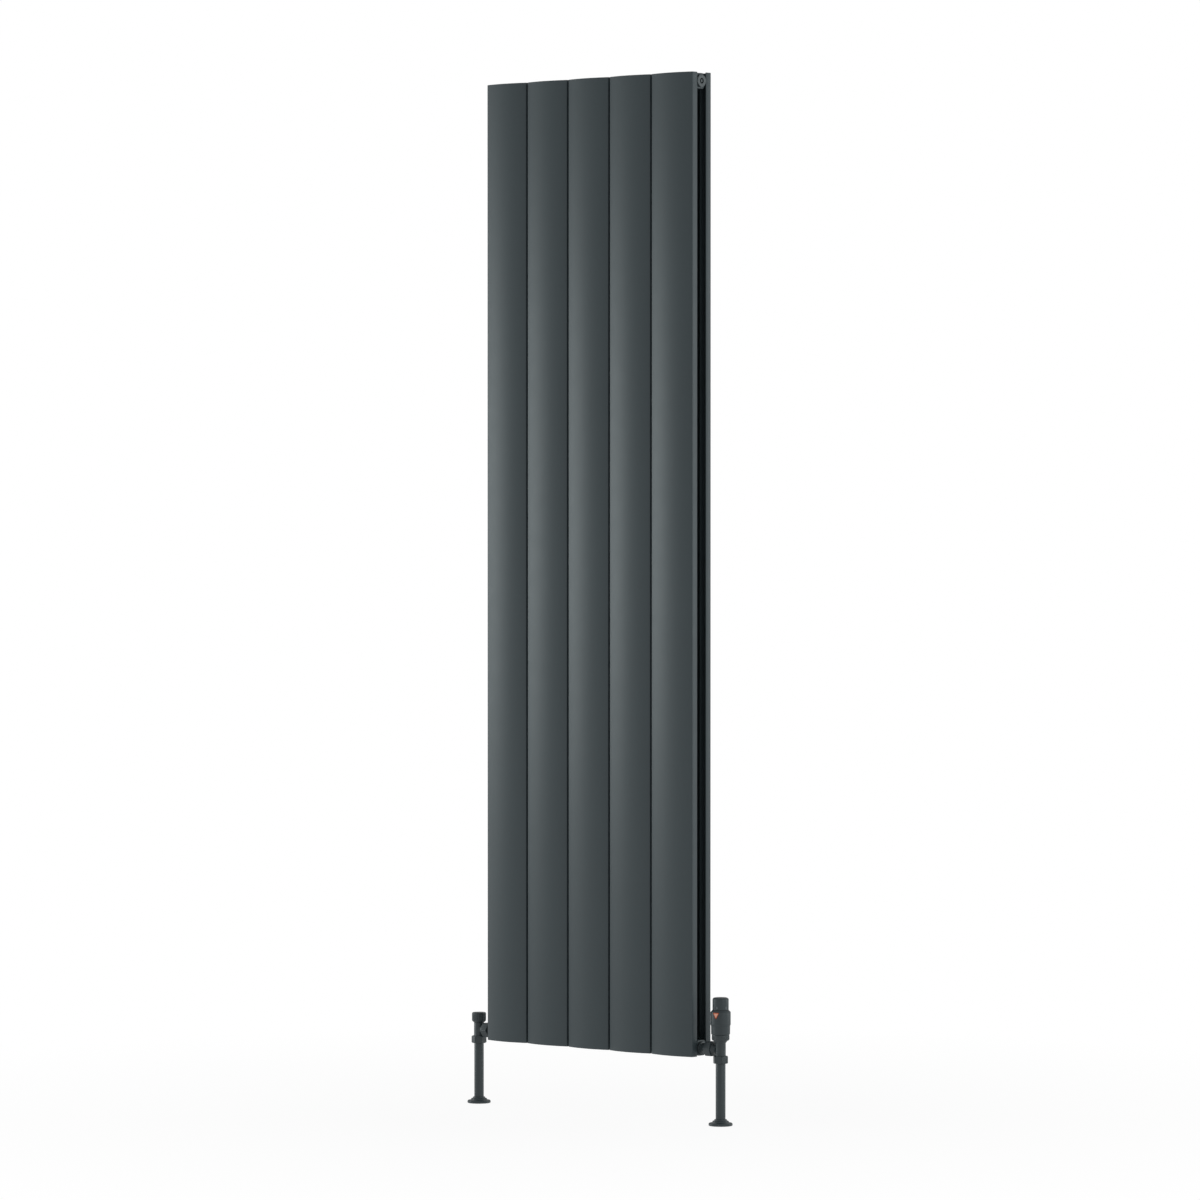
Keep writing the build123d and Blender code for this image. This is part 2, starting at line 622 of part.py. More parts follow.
def save_lockshield():
    place = valve_place(-1)
    body = valve_body([(BODY_RADIUS, LOCK_TOP)], LOCK_TOP, LOCK_HEADWORK_DEPTH)
    save("lockshield_body", facing(-1) * body)
    save("lockshield_headwork", place * lockshield_headwork())
    save("lockshield_spindle", place * lockshield_spindle())
    save("lockshield_plug", place * lockshield_plug())
    low = SEAT_HEIGHT + LOCK_LIFT
    save("lockshield_seat_washer", rod(WASHER_RADIUS, low, low + WASHER, place))
    save("lockshield_cap", place * lockshield_cap())


# ---------------------------------------------------------------- thermostatic valve, on the right

TRV_TOP = 23.5
TRV_BOSS = 12.9
TRV_SHOULDER = [(BODY_RADIUS, 11.6), (TRV_BOSS, 16.0), (TRV_BOSS, TRV_TOP)]
TRV_HEADWORK_DEPTH = 17.5
PIN_RADIUS = 1.5
PIN_TOP = 25.0
TRV_LIFT = 1.5              # the disc's height over its seat at rest
INSERT_LOW = 8.0
INSERT_TOP = 22.0
SPRING_CHAMBER = 4.6
SPRING_CHAMBER_TOP = 17.5
SPRING_SEAT_BORE = 1.8
SPRING_LOW = 9.2
SPRING_HIGH = 14.8
SPRING_RADIUS = 3.1
SPRING_WIRE = 0.35
SPRING_TURNS = 3.5
PIN_COLLAR = 3.9
PIN_COLLAR_THICKNESS = 1.0
TRV_GLAND = 19.0
RING_NUT_RADIUS = 16.2
RING_NUT_LOW = 16.4
RING_NUT_HIGH = 26.8
RING_NUT_FOOT = 14.6
RING_NUT_SLOPE = 1.6
RING_NUT_BREAK = 0.4
RING_NUT_LIP_RADIUS = 11.7
RING_NUT_LIP = 25.4
HEAD_LOW = 27.2
HEAD_RADIUS = 18.45
HEAD_WAIST = 17.5
HEAD_SKIRT = [(HEAD_WAIST - 0.9, HEAD_LOW), (HEAD_WAIST - 0.3, HEAD_LOW + 0.8), (HEAD_WAIST, 43),
              (HEAD_RADIUS, 45.4)]
SHOULDER = 68.4
HEAD_TOP = 72.0
HEAD_BORE = 13.28
HEAD_FLOOR = 31.0
HEAD_HOLE_RADIUS = 8.5
SPIGOT_RADIUS = 12.8        # the ring nut clamps the head by this spigot
SPIGOT_TOP = 25.3
SPIGOT_NECK = 11.5
KNOB_LOW = 72.3
KNOB_TOP = 94.8
KNOB_RADIUS = 14.8
KNOB_RIM = [(11.2, KNOB_TOP), (13.2, KNOB_TOP - 0.5), (14.3, KNOB_TOP - 1.6),
            (KNOB_RADIUS, KNOB_TOP - 3.4)]
KNOB_ROOF = 3.0
KNOB_SLEEVE = 13.2
KNOB_SLEEVE_LOW = 52.0
SENSOR_RADIUS = 11.5
SENSOR_LOW = 52.0
SENSOR_HIGH = 69.0
SENSOR_EDGE = 1.0
SENSOR_STEM = [(4.0, 33), (7.5, 34)]
POINTER_ANGLE = 13.0        # from the front, towards the outer side
POINTER_WIDTH = 13.2
POINTER_HEIGHT = 12.2
POINTER_TOP = 68.0
POINTER_CORNER = 1.2
POINTER_DEPTH = 0.5
POINTER_PROUD = 0.3


def trv_insert():
    thread = HEADWORK_RADIUS - THREAD_PLAY
    bore = PIN_RADIUS + RUN
    groove = bore + GLAND_WALL
    gland_top = TRV_GLAND + GLAND_LENGTH
    return turned([(SPRING_CHAMBER, INSERT_LOW), (thread, INSERT_LOW), (thread, INSERT_TOP),
                   (bore, INSERT_TOP), (bore, gland_top), (groove, gland_top), (groove, TRV_GLAND),
                   (bore, TRV_GLAND), (bore, SPRING_CHAMBER_TOP), (SPRING_CHAMBER, SPRING_CHAMBER_TOP)])


def trv_pin():
    """The valve disc, its stem, and the collar that the spring lifts."""
    disc_low = SEAT_HEIGHT + TRV_LIFT + WASHER
    stem = rod(DISC_RADIUS, disc_low, disc_low + WASHER) + rod(PIN_RADIUS, disc_low, PIN_TOP)
    return stem + rod(PIN_COLLAR, SPRING_HIGH, SPRING_HIGH + PIN_COLLAR_THICKNESS)


def trv_spring():
    height = SPRING_HIGH - SPRING_LOW - 2 * SPRING_WIRE
    path = Helix(height / SPRING_TURNS, height, SPRING_RADIUS)
    wire = Plane(origin=path @ 0, z_dir=path % 0) * Circle(SPRING_WIRE)
    return Pos(0, 0, SPRING_LOW + SPRING_WIRE) * sweep(wire, path)


def trv_ring_nut():
    """Holds the head on the valve."""
    inner = TRV_BOSS + FACE_GAP
    return turned([(inner, RING_NUT_LOW), (RING_NUT_FOOT, RING_NUT_LOW),
                   (RING_NUT_RADIUS, RING_NUT_LOW + RING_NUT_SLOPE),
                   (RING_NUT_RADIUS, RING_NUT_HIGH - RING_NUT_BREAK),
                   (RING_NUT_RADIUS - RING_NUT_BREAK, RING_NUT_HIGH), (RING_NUT_LIP_RADIUS, RING_NUT_HIGH),
                   (RING_NUT_LIP_RADIUS, RING_NUT_LIP), (inner, RING_NUT_LIP)])


def pointer_prism():
    """A downward triangle with rounded corners, standing out radially from the head."""
    half = POINTER_WIDTH / 2
    low = POINTER_TOP - POINTER_HEIGHT
    triangle = make_face(Polyline((-half, POINTER_TOP), (half, POINTER_TOP), (0, low), close=True))
    triangle = fillet(triangle.vertices(), POINTER_CORNER)
    plane = Plane(origin=(0, 0, 0), x_dir=(1, 0, 0), z_dir=(0, -1, 0))
    return Rot(0, 0, POINTER_ANGLE) * extrude(plane * triangle, 2 * HEAD_RADIUS)


def trv_head_body():
    foot = TRV_TOP + FACE_GAP
    shell = turned([(HEAD_HOLE_RADIUS, foot), (SPIGOT_RADIUS, foot), (SPIGOT_RADIUS, SPIGOT_TOP),
                    (SPIGOT_NECK, SPIGOT_TOP), (SPIGOT_NECK, HEAD_LOW)] + HEAD_SKIRT
                   + [(HEAD_RADIUS, SHOULDER), (KNOB_RADIUS + FACE_GAP, HEAD_TOP), (HEAD_BORE, HEAD_TOP),
                      (HEAD_BORE, HEAD_FLOOR), (HEAD_HOLE_RADIUS, HEAD_FLOOR)])
    recess = ring(HEAD_RADIUS - POINTER_DEPTH, HEAD_RADIUS + 1, SEAT_HEIGHT, HEAD_TOP)
    return shell - (recess & pointer_prism())


def trv_pointer():
    layer = ring(HEAD_RADIUS - POINTER_DEPTH, HEAD_RADIUS + POINTER_PROUD, SEAT_HEIGHT, HEAD_TOP)
    return layer & pointer_prism()


def trv_knob():
    """A cup whose long skirt turns in the head and carries the sensor's thread."""
    sleeve = SENSOR_RADIUS + RUN
    roof = KNOB_TOP - KNOB_ROOF
    return turned([(0, KNOB_TOP)] + KNOB_RIM + [(KNOB_RADIUS, KNOB_LOW), (KNOB_SLEEVE, KNOB_LOW),
                   (KNOB_SLEEVE, KNOB_SLEEVE_LOW), (sleeve, KNOB_SLEEVE_LOW), (sleeve, roof), (0, roof)])


def trv_sensor():
    """The sealed sensing capsule, its stem and the nose that presses the pin."""
    nose_low = PIN_TOP + FACE_GAP
    nose, shaft = SENSOR_STEM[0][0], SENSOR_STEM[-1][0]
    return turned([(0, nose_low), (nose, nose_low)] + SENSOR_STEM + [(shaft, SENSOR_LOW),
                   (SENSOR_RADIUS, SENSOR_LOW + SENSOR_EDGE), (SENSOR_RADIUS, SENSOR_HIGH - SENSOR_EDGE),
                   (SENSOR_RADIUS - SENSOR_EDGE, SENSOR_HIGH), (0, SENSOR_HIGH)])


def save_thermostatic_valve():
    place = valve_place(1)
    body = valve_body(TRV_SHOULDER, TRV_TOP, TRV_HEADWORK_DEPTH)
    save("trv_body", facing(1) * body)
    save("trv_insert", place * trv_insert())
    save("trv_spring_seat", ring(SPRING_SEAT_BORE, SPRING_CHAMBER, INSERT_LOW, SPRING_LOW, place))
    save("trv_spring", place * trv_spring())
    save("trv_pin", place * trv_pin())
    low = SEAT_HEIGHT + TRV_LIFT
    save("trv_seat_washer", rod(WASHER_RADIUS, low, low + WASHER, place))
    save("trv_ring_nut", place * trv_ring_nut())
    save("trv_head_body", place * trv_head_body())
    save("trv_pointer", place * trv_pointer())
    save("trv_knob", place * trv_knob())
    save("trv_sensor", place * trv_sensor())


def save_gland_seals():
    lock = SPINDLE_RADIUS + RUN
    pin = PIN_RADIUS + RUN
    save("gland_seals", group([
        ring(lock, lock + GLAND_WALL, LOCK_GLAND, LOCK_GLAND + GLAND_LENGTH, valve_place(-1)),
        ring(pin, pin + GLAND_WALL, TRV_GLAND, TRV_GLAND + GLAND_LENGTH, valve_place(1))]))


# ---------------------------------------------------------------- pipe sleeves and floor collars

# The collar's stepped outline, heights from the floor.
COLLAR_OUTLINE = [(COLLAR_RADIUS - 1, 0), (COLLAR_RADIUS, 1), (COLLAR_RADIUS, 3.4),
                  (COLLAR_RADIUS - 1.2, 5.2), (17.0, 6.0), (15.3, 6.6), (14.6, 8.6), (12.2, 9.2),
                  (11.5, 10.2), (11.5, COLLAR_HEIGHT - 0.6), (11.0, COLLAR_HEIGHT)]


def floor_collar():
    bore = SLEEVE_RADIUS + RUN
    return turned([(bore, 0)] + COLLAR_OUTLINE + [(bore, COLLAR_HEIGHT)])


def save_pipe_covers():
    for name, side in (("left", -1), ("right", 1)):
        at_floor = Pos(side * VALVE_X, MIDDLE_Y, FLOOR_Z)
        sleeve = ring(SLEEVE_RADIUS - SLEEVE_WALL, SLEEVE_RADIUS, 0, PORT_HEIGHT + SLEEVE_TOP, at_floor)
        save(f"{name}_pipe_sleeve", sleeve)
        save(f"{name}_floor_collar", at_floor * floor_collar())


os.makedirs("parts", exist_ok=True)
save_sections()
save_channel_plugs()
save_headers()
save_nipples()
save_flow_baffle()
save_port_fittings()
save_brackets()
save_unions()
save_lockshield()
save_thermostatic_valve()
save_gland_seals()
save_pipe_covers()
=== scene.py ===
import json
import math

import bmesh
import bpy
from bpy.props import FloatProperty, FloatVectorProperty, IntProperty, PointerProperty
from mathutils import Matrix, Vector

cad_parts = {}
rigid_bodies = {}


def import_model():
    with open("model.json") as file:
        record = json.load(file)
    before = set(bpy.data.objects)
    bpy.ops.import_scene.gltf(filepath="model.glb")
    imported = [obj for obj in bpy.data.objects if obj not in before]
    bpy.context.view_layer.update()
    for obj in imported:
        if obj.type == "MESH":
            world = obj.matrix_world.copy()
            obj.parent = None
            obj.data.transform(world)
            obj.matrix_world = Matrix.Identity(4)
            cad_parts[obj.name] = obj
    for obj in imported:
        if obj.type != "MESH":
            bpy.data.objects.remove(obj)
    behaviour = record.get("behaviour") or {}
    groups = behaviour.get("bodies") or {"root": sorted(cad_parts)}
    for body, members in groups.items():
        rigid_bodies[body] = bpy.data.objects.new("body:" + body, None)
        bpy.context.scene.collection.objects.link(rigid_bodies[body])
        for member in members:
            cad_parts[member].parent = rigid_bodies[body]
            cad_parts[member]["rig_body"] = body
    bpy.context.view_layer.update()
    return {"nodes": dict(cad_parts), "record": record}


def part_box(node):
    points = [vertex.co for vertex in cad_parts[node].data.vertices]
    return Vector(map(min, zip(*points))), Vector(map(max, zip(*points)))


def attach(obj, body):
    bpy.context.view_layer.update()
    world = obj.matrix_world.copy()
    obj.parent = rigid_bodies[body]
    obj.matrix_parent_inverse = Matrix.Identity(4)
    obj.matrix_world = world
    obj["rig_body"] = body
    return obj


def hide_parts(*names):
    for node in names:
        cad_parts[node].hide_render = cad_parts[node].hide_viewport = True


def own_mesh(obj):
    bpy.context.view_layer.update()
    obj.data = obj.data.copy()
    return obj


bl_info = {
    "name": "Tall Double-Panel Radiator",
    "version": (1, 0, 0),
    "blender": (4, 5, 0),
    "location": "3D View > Sidebar > Radiator",
    "description": "Shapes and finishes a tall aluminium radiator, its valves and its brackets",
    "category": "Add Mesh",
}

# Blender's units are metres. Profiles and outlines are drawn in millimetres and scaled by MM.
# X runs to the right, the front faces -Y, the wall is the plane y = 0, and Z is up.

MM = 0.001
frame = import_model()


def middle(node):
    low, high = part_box(node)
    return (low + high) / 2


def span(node):
    low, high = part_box(node)
    return high - low


PORT_Z = middle("bottom_header").z
TOP_Z = middle("top_header").z
FLOOR_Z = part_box("left_pipe_sleeve")[0].z
LEFT_AXIS = Vector((middle("left_pipe_sleeve").x, middle("left_pipe_sleeve").y, PORT_Z))
RIGHT_AXIS = Vector((middle("right_pipe_sleeve").x, middle("right_pipe_sleeve").y, PORT_Z))
AXES = {"left": LEFT_AXIS, "right": RIGHT_AXIS}
SECTION_COUNT = 5
HEAD_RADIUS = span("trv_head_body").x / 2 / MM
CAP_RADIUS = span("lockshield_cap").x / 2 / MM


# ---------------------------------------------------------------- settings

def millimetres(name, value, description):
    return FloatProperty(name=name, default=value * MM, min=0.0, precision=5, subtype="DISTANCE",
                         unit="LENGTH", description=description)


def colour(name, value, description):
    return FloatVectorProperty(name=name, default=value, size=3, min=0.0, max=1.0, subtype="COLOR",
                               description=description)


def share(name, value, description):
    return FloatProperty(name=name, default=value, min=0.0, max=1.0, subtype="FACTOR",
                         description=description)


class PanelSizes(bpy.types.PropertyGroup):
    skin: millimetres("Skin", 2.0, "Thickness of a section's bowed face")
    side: millimetres("Side", 1.8, "Thickness of a section's folded sides")
    edge_round: millimetres("Edge Round", 1.6, "Radius between the face and the sides")
    channel_width: millimetres("Channel Width", 24.0, "Outside width of the water channel")
    channel_wall: millimetres("Channel Wall", 2.0, "Thickness of the water channel's wall")
    fin_offset: millimetres("Fin Offset", 31.0, "From a section's middle to each fin")
    fin_thickness: millimetres("Fin Thickness", 1.4, "Thickness of a fin")
    fin_space: millimetres("Fin Space", 4.4, "How far a fin stops short of the open side")
    saw_edge: millimetres("Saw Edge", 0.25, "Width of the brushed-off edge at a sawn end")
    header_wall: millimetres("Header Wall", 2.5, "Thickness of the cross tubes")


class FittingSizes(bpy.types.PropertyGroup):
    edge: millimetres("Edge", 0.35, "Width of the eased edges on pressed and cut parts")
    flutes: IntProperty(name="Cap Flutes", default=26, min=8, max=60,
                        description="Finger flutes round the lockshield cap")
    flute_depth: millimetres("Flute Depth", 0.55, "Depth of the cap's flutes")
    knurls: IntProperty(name="Ring Nut Knurls", default=60, min=12, max=120,
                        description="Straight knurls round the thermostatic head's ring nut")
    knurl_depth: millimetres("Knurl Depth", 0.3, "Depth of the ring nut's knurls")
    number_height: millimetres("Number Height", 4.0, "Height of the dial's numbers")
    pointer_rim: millimetres("Pointer Rim", 1.3, "Width of the pointer's copper rim")


class Colours(bpy.types.PropertyGroup):
    coat: colour("Coat", (0.034, 0.049, 0.055), "Anthracite powder coat on panels and headers")
    fitting_coat: colour("Fitting Coat", (0.027, 0.038, 0.042), "Anthracite coat on the valves")
    plastic: colour("Plastic", (0.027, 0.038, 0.042), "Anthracite mouldings of the head and cap")
    brass: colour("Brass", (0.58, 0.36, 0.10), "Bare turned brass")
    aluminium: colour("Aluminium", (0.58, 0.59, 0.60), "Mill-finished aluminium")
    zinc: colour("Zinc", (0.42, 0.43, 0.44), "Bright zinc plate and steel wire")
    rubber: colour("Rubber", (0.012, 0.012, 0.013), "Seals and washers")
    copper: colour("Copper", (0.46, 0.085, 0.03), "Lacquered rim of the pointer")
    enamel: colour("Enamel", (0.74, 0.36, 0.25), "Pale middle of the pointer")
    print_grey: colour("Print", (0.24, 0.26, 0.28), "Printed numbers on the dial")


class Studio(bpy.types.PropertyGroup):
    floor: colour("Floor", (0.86, 0.86, 0.86), "Colour of the studio floor")
    surround: share("Surround", 0.5, "Light from the white room all round")
    bounce: share("Bounce", 0.68, "Light that the floor sends up")
    key: FloatProperty(name="Key Light", default=163.0, min=0.0, unit="POWER",
                       description="Power of the soft light on the left")
    fill: FloatProperty(name="Fill Light", default=32.0, min=0.0, unit="POWER",
                        description="Power of the soft light on the right")
    back: FloatProperty(name="Back Light", default=70.0, min=0.0, unit="POWER",
                        description="Power of the soft light behind the right end")


def sizes():
    return bpy.context.scene.radiator_panels


def fittings():
    return bpy.context.scene.radiator_fittings


def colours():
    return bpy.context.scene.radiator_colours


# ---------------------------------------------------------------- node trees

class Value:
    """A node's output socket. Sums written with it add the nodes that work them out."""

    def __init__(self, graph, socket):
        self.graph = graph
        self.socket = socket

    def of(self, name):
        """Another output of the same node."""
        return Value(self.graph, self.socket.node.outputs[name])

    def sum(self, operation, first, second):
        return self.graph.node("ShaderNodeMath", {"operation": operation}, {0: first, 1: second})

    def __add__(self, other):
        return self.sum("ADD", self, other)

    def __radd__(self, other):
        return self.sum("ADD", other, self)

    def __sub__(self, other):
        return self.sum("SUBTRACT", self, other)

    def __rsub__(self, other):
        return self.sum("SUBTRACT", other, self)

    def __mul__(self, other):
        return self.sum("MULTIPLY", self, other)

    def __rmul__(self, other):
        return self.sum("MULTIPLY", other, self)

    def __truediv__(self, other):
        return self.sum("DIVIDE", self, other)


class Graph:
    """Builds a shader or geometry tree from calls."""

    def __init__(self, tree):
        self.tree = tree

    def node(self, kind, settings=None, inputs=None, output=0):
        """A node of that kind, its settings made first and its sockets given values or links."""
        made = self.tree.nodes.new(kind)
        for name, value in (settings or {}).items():
            if name == "stops":
                self.set_stops(made.color_ramp.elements, value)
            else:
                setattr(made, name, value)
        for name, value in (inputs or {}).items():
            socket = made.inputs[name]
            for one in value if isinstance(value, list) else [value]:
                if isinstance(one, Value):
                    self.tree.links.new(one.socket, socket)
                else:
                    socket.default_value = one
        return Value(self, made.outputs[output]) if made.outputs else None

    def set_stops(self, elements, stops):
        while len(elements) < len(stops):
            elements.new(1.0)
        for element, (position, level) in zip(elements, stops):
            element.position = position
            element.color = (level, level, level, 1.0)


class Finish(Graph):
    """A material for one of the radiator's surfaces."""

    def __init__(self, name):
        self.material = bpy.data.materials.new(name)
        self.material.use_nodes = True
        super().__init__(self.material.node_tree)
        self.tree.nodes.clear()
        self.place = self.node("ShaderNodeTexCoord", output="Object")

    def noise(self, size, detail=2.0, rough=0.5, place=None):
        """Noise whose features are about size metres across."""
        return self.node("ShaderNodeTexNoise", {},
                         {"Vector": place or self.place, "Scale": 1.0 / size, "Detail": detail,
                          "Roughness": rough})

    def stretched(self, scale):
        """Object coordinates stretched, for lines that run one way."""
        return self.node("ShaderNodeMapping", {}, {"Vector": self.place, "Scale": scale})

    def ramp(self, value, stops):
        return self.node("ShaderNodeValToRGB", {"stops": stops}, {"Fac": value})

    def mix(self, factor, first, second):
        """A colour between two."""
        pair = [c if isinstance(c, Value) else (*c, 1.0) for c in (first, second)]
        return self.node("ShaderNodeMix", {"data_type": "RGBA"},
                         {0: factor, 6: pair[0], 7: pair[1]}, output=2)

    def bump(self, height, depth, strength=1.0):
        """A bump whose relief is about depth metres."""
        return self.node("ShaderNodeBump", {},
                         {"Height": height, "Distance": depth, "Strength": strength})

    def close(self, tint, roughness, normal, metallic=0.0, gloss=0.5):
        """Joins the varying values to the shader; metallic and gloss are constants."""
        shader = self.node("ShaderNodeBsdfPrincipled", {},
                           {"Base Color": tint, "Roughness": roughness, "Normal": normal,
                            "Metallic": metallic, "Specular IOR Level": gloss})
        self.node("ShaderNodeOutputMaterial", {}, {"Surface": shader})
        return self.material


def shaded(tint, factor):
    return tuple(min(1.0, c * factor) for c in tint)


def powder_coat(name, tint, roughness=0.47, grain=1.1, relief=0.05):
    """A satin powder coat: fine orange peel, with a slow drift in colour and gloss."""
    f = Finish(name)
    peel = f.noise(grain * MM, detail=1.5)
    fine = f.noise(grain * MM / 4, detail=1.0)
    drift = f.noise(0.22, detail=3.0)
    cloud = f.noise(0.03, detail=2.0)
    base = f.mix(drift, shaded(tint, 0.93), shaded(tint, 1.07))
    fleck = f.ramp(fine, [(0.62, 0.0), (0.78, 0.35)])
    base = f.mix(fleck, base, shaded(tint, 1.55))
    gloss = roughness + (cloud - 0.5) * 0.05 + (fine - 0.5) * 0.06
    return f.close(base, gloss, f.bump(peel + fine * 0.35, relief * MM))


def moulded_plastic(name, tint, roughness=0.46):
    """A spark-eroded mould grain with faint flow marks along the moulding."""
    f = Finish(name)
    grain = f.noise(0.28 * MM, detail=2.0, rough=0.6)
    flow = f.noise(14 * MM, detail=2.0, place=f.stretched((1.0, 1.0, 0.35)))
    base = f.mix(flow, shaded(tint, 0.92), shaded(tint, 1.1))
    gloss = roughness + (flow - 0.5) * 0.08 + (grain - 0.5) * 0.1
    return f.close(base, gloss, f.bump(grain, 0.010 * MM))


def turned_brass(name, tint, ring_step=0.22):
    """Brass straight off the lathe: fine rings round the axis and slight tarnish."""
    f = Finish(name)
    lines = f.noise(ring_step * MM, detail=1.0, place=f.stretched((0.05, 0.05, 1.0)))
    tarnish = f.noise(5 * MM, detail=4.0, rough=0.6)
    spots = f.ramp(tarnish, [(0.52, 0.0), (0.72, 0.6)])
    base = f.mix(spots, tint, (tint[0] * 0.62, tint[1] * 0.52, tint[2] * 0.42))
    gloss = 0.24 + spots * 0.22 + (lines - 0.5) * 0.12
    return f.close(base, gloss, f.bump(lines, 0.006 * MM), metallic=1.0)


def mill_aluminium(name, tint):
    """Extruded aluminium with its die lines and a thin grey bloom."""
    f = Finish(name)
    lines = f.noise(0.3 * MM, detail=1.5, place=f.stretched((1.0, 1.0, 0.01)))
    bloom = f.noise(18 * MM, detail=4.0)
    base = f.mix(bloom, shaded(tint, 0.85), shaded(tint, 1.1))
    gloss = 0.34 + (bloom - 0.5) * 0.15 + (lines - 0.5) * 0.12
    return f.close(base, gloss, f.bump(lines, 0.006 * MM), metallic=1.0)


def zinc_plate(name, tint):
    """Bright zinc: a fine crystalline sparkle, duller in patches."""
    f = Finish(name)
    crystals = f.node("ShaderNodeTexVoronoi", {}, {"Vector": f.place, "Scale": 1 / (0.9 * MM)})
    patch = f.noise(3.5 * MM, detail=3.0)
    base = f.mix(patch, shaded(tint, 0.8), shaded(tint, 1.15))
    gloss = 0.28 + patch * 0.12 + crystals * 0.1
    return f.close(base, gloss, f.bump(crystals, 0.004 * MM), metallic=1.0)


def moulded_rubber(name, tint):
    """Black rubber with a dry, slightly dusty skin."""
    f = Finish(name)
    skin = f.noise(0.5 * MM, detail=3.0)
    dust = f.ramp(f.noise(4 * MM, detail=4.0), [(0.5, 0.0), (0.8, 0.5)])
    base = f.mix(dust, tint, shaded(tint, 3.0))
    return f.close(base, 0.62 + (skin - 0.5) * 0.2, f.bump(skin, 0.02 * MM), gloss=0.35)


def copper_lacquer(name, tint):
    """Copper-coloured lacquer with fine brushing under it."""
    f = Finish(name)
    brushed = f.noise(0.12 * MM, detail=1.0, place=f.stretched((1.0, 1.0, 0.08)))
    tone = f.noise(2.5 * MM, detail=2.0)
    base = f.mix(tone, shaded(tint, 0.75), shaded(tint, 1.25))
    gloss = 0.26 + (brushed - 0.5) * 0.2
    return f.close(base, gloss, f.bump(brushed, 0.004 * MM), metallic=0.85)


def enamel_fill(name, tint):
    """Pale enamel, a little uneven where it was wiped into its recess."""
    f = Finish(name)
    wipe = f.noise(1.6 * MM, detail=3.0)
    speck = f.noise(0.15 * MM, detail=1.0)
    base = f.mix(wipe, shaded(tint, 0.85), shaded(tint, 1.12))
    return f.close(base, 0.3 + (wipe - 0.5) * 0.15, f.bump(wipe + speck * 0.2, 0.02 * MM))


def dial_print(name, tint):
    """Pad-printed ink, thinner in places."""
    f = Finish(name)
    ink = f.noise(0.2 * MM, detail=3.0)
    base = f.mix(ink, shaded(tint, 0.8), shaded(tint, 1.2))
    return f.close(base, 0.5 + (ink - 0.5) * 0.15, f.bump(ink, 0.008 * MM))


FINISHES = {
    "panel_paint": lambda c: powder_coat("panel powder coat", c.coat),
    "header_paint": lambda c: powder_coat("header powder coat", shaded(c.coat, 0.92), 0.5),
    "bracket_paint": lambda c: powder_coat("bracket powder coat", shaded(c.coat, 0.9), 0.5),
    "valve_paint": lambda c: powder_coat("valve coat", c.fitting_coat, 0.38, 0.7, 0.03),
    "sleeve_paint": lambda c: powder_coat("sleeve coat", shaded(c.fitting_coat, 1.12), 0.36, 0.9, 0.025),
    "head_plastic": lambda c: moulded_plastic("head moulding", c.plastic),
    "knob_plastic": lambda c: moulded_plastic("grip moulding", shaded(c.plastic, 1.05), 0.42),
    "pointer_copper": lambda c: copper_lacquer("copper lacquer", c.copper),
    "enamel": lambda c: enamel_fill("pointer enamel", c.enamel),
    "print": lambda c: dial_print("dial print", c.print_grey),
    "brass": lambda c: turned_brass("turned brass", c.brass),
    "sensor_shell": lambda c: turned_brass("drawn brass capsule", shaded(c.brass, 1.1), 0.6),
    "plain_aluminium": lambda c: mill_aluminium("mill aluminium", c.aluminium),
    "zinc_steel": lambda c: zinc_plate("bright zinc", c.zinc),
    "spring_steel": lambda c: zinc_plate("drawn spring wire", shaded(c.zinc, 1.15)),
    "seal_rubber": lambda c: moulded_rubber("seal rubber", c.rubber),
    "pad_plastic": lambda c: moulded_plastic("pad moulding", shaded(c.plastic, 0.4), 0.55),
}
made_finishes = {}


def finish(slot):
    """The material of a slot, made the first time it is asked for."""
    if slot not in made_finishes:
        made_finishes[slot] = FINISHES[slot](colours())
    return made_finishes[slot]


# ---------------------------------------------------------------- shapes

def softened(corners, closed, steps=4):
    """Outline points from (across, along, round) corners, each corner rounded by its radius."""
    points = []
    count = len(corners)
    for i, (across, along, radius) in enumerate(corners):
        here = Vector((across, along))
        if radius <= 0 or (not closed and i in (0, count - 1)):
            points.append(here)
            continue
        before = Vector(corners[i - 1][:2]) - here
        after = Vector(corners[(i + 1) % count][:2]) - here
        angle = before.angle(after, math.pi)
        reach = min(radius / math.tan(max(angle, 0.01) / 2), before.length * 0.49,
                    after.length * 0.49)
        start = here + before.normalized() * reach
        end = here + after.normalized() * reach
        for step in range(steps + 1):
            t = step / steps
            points.append(start * (1 - t) ** 2 + here * 2 * t * (1 - t) + end * t * t)
    return points


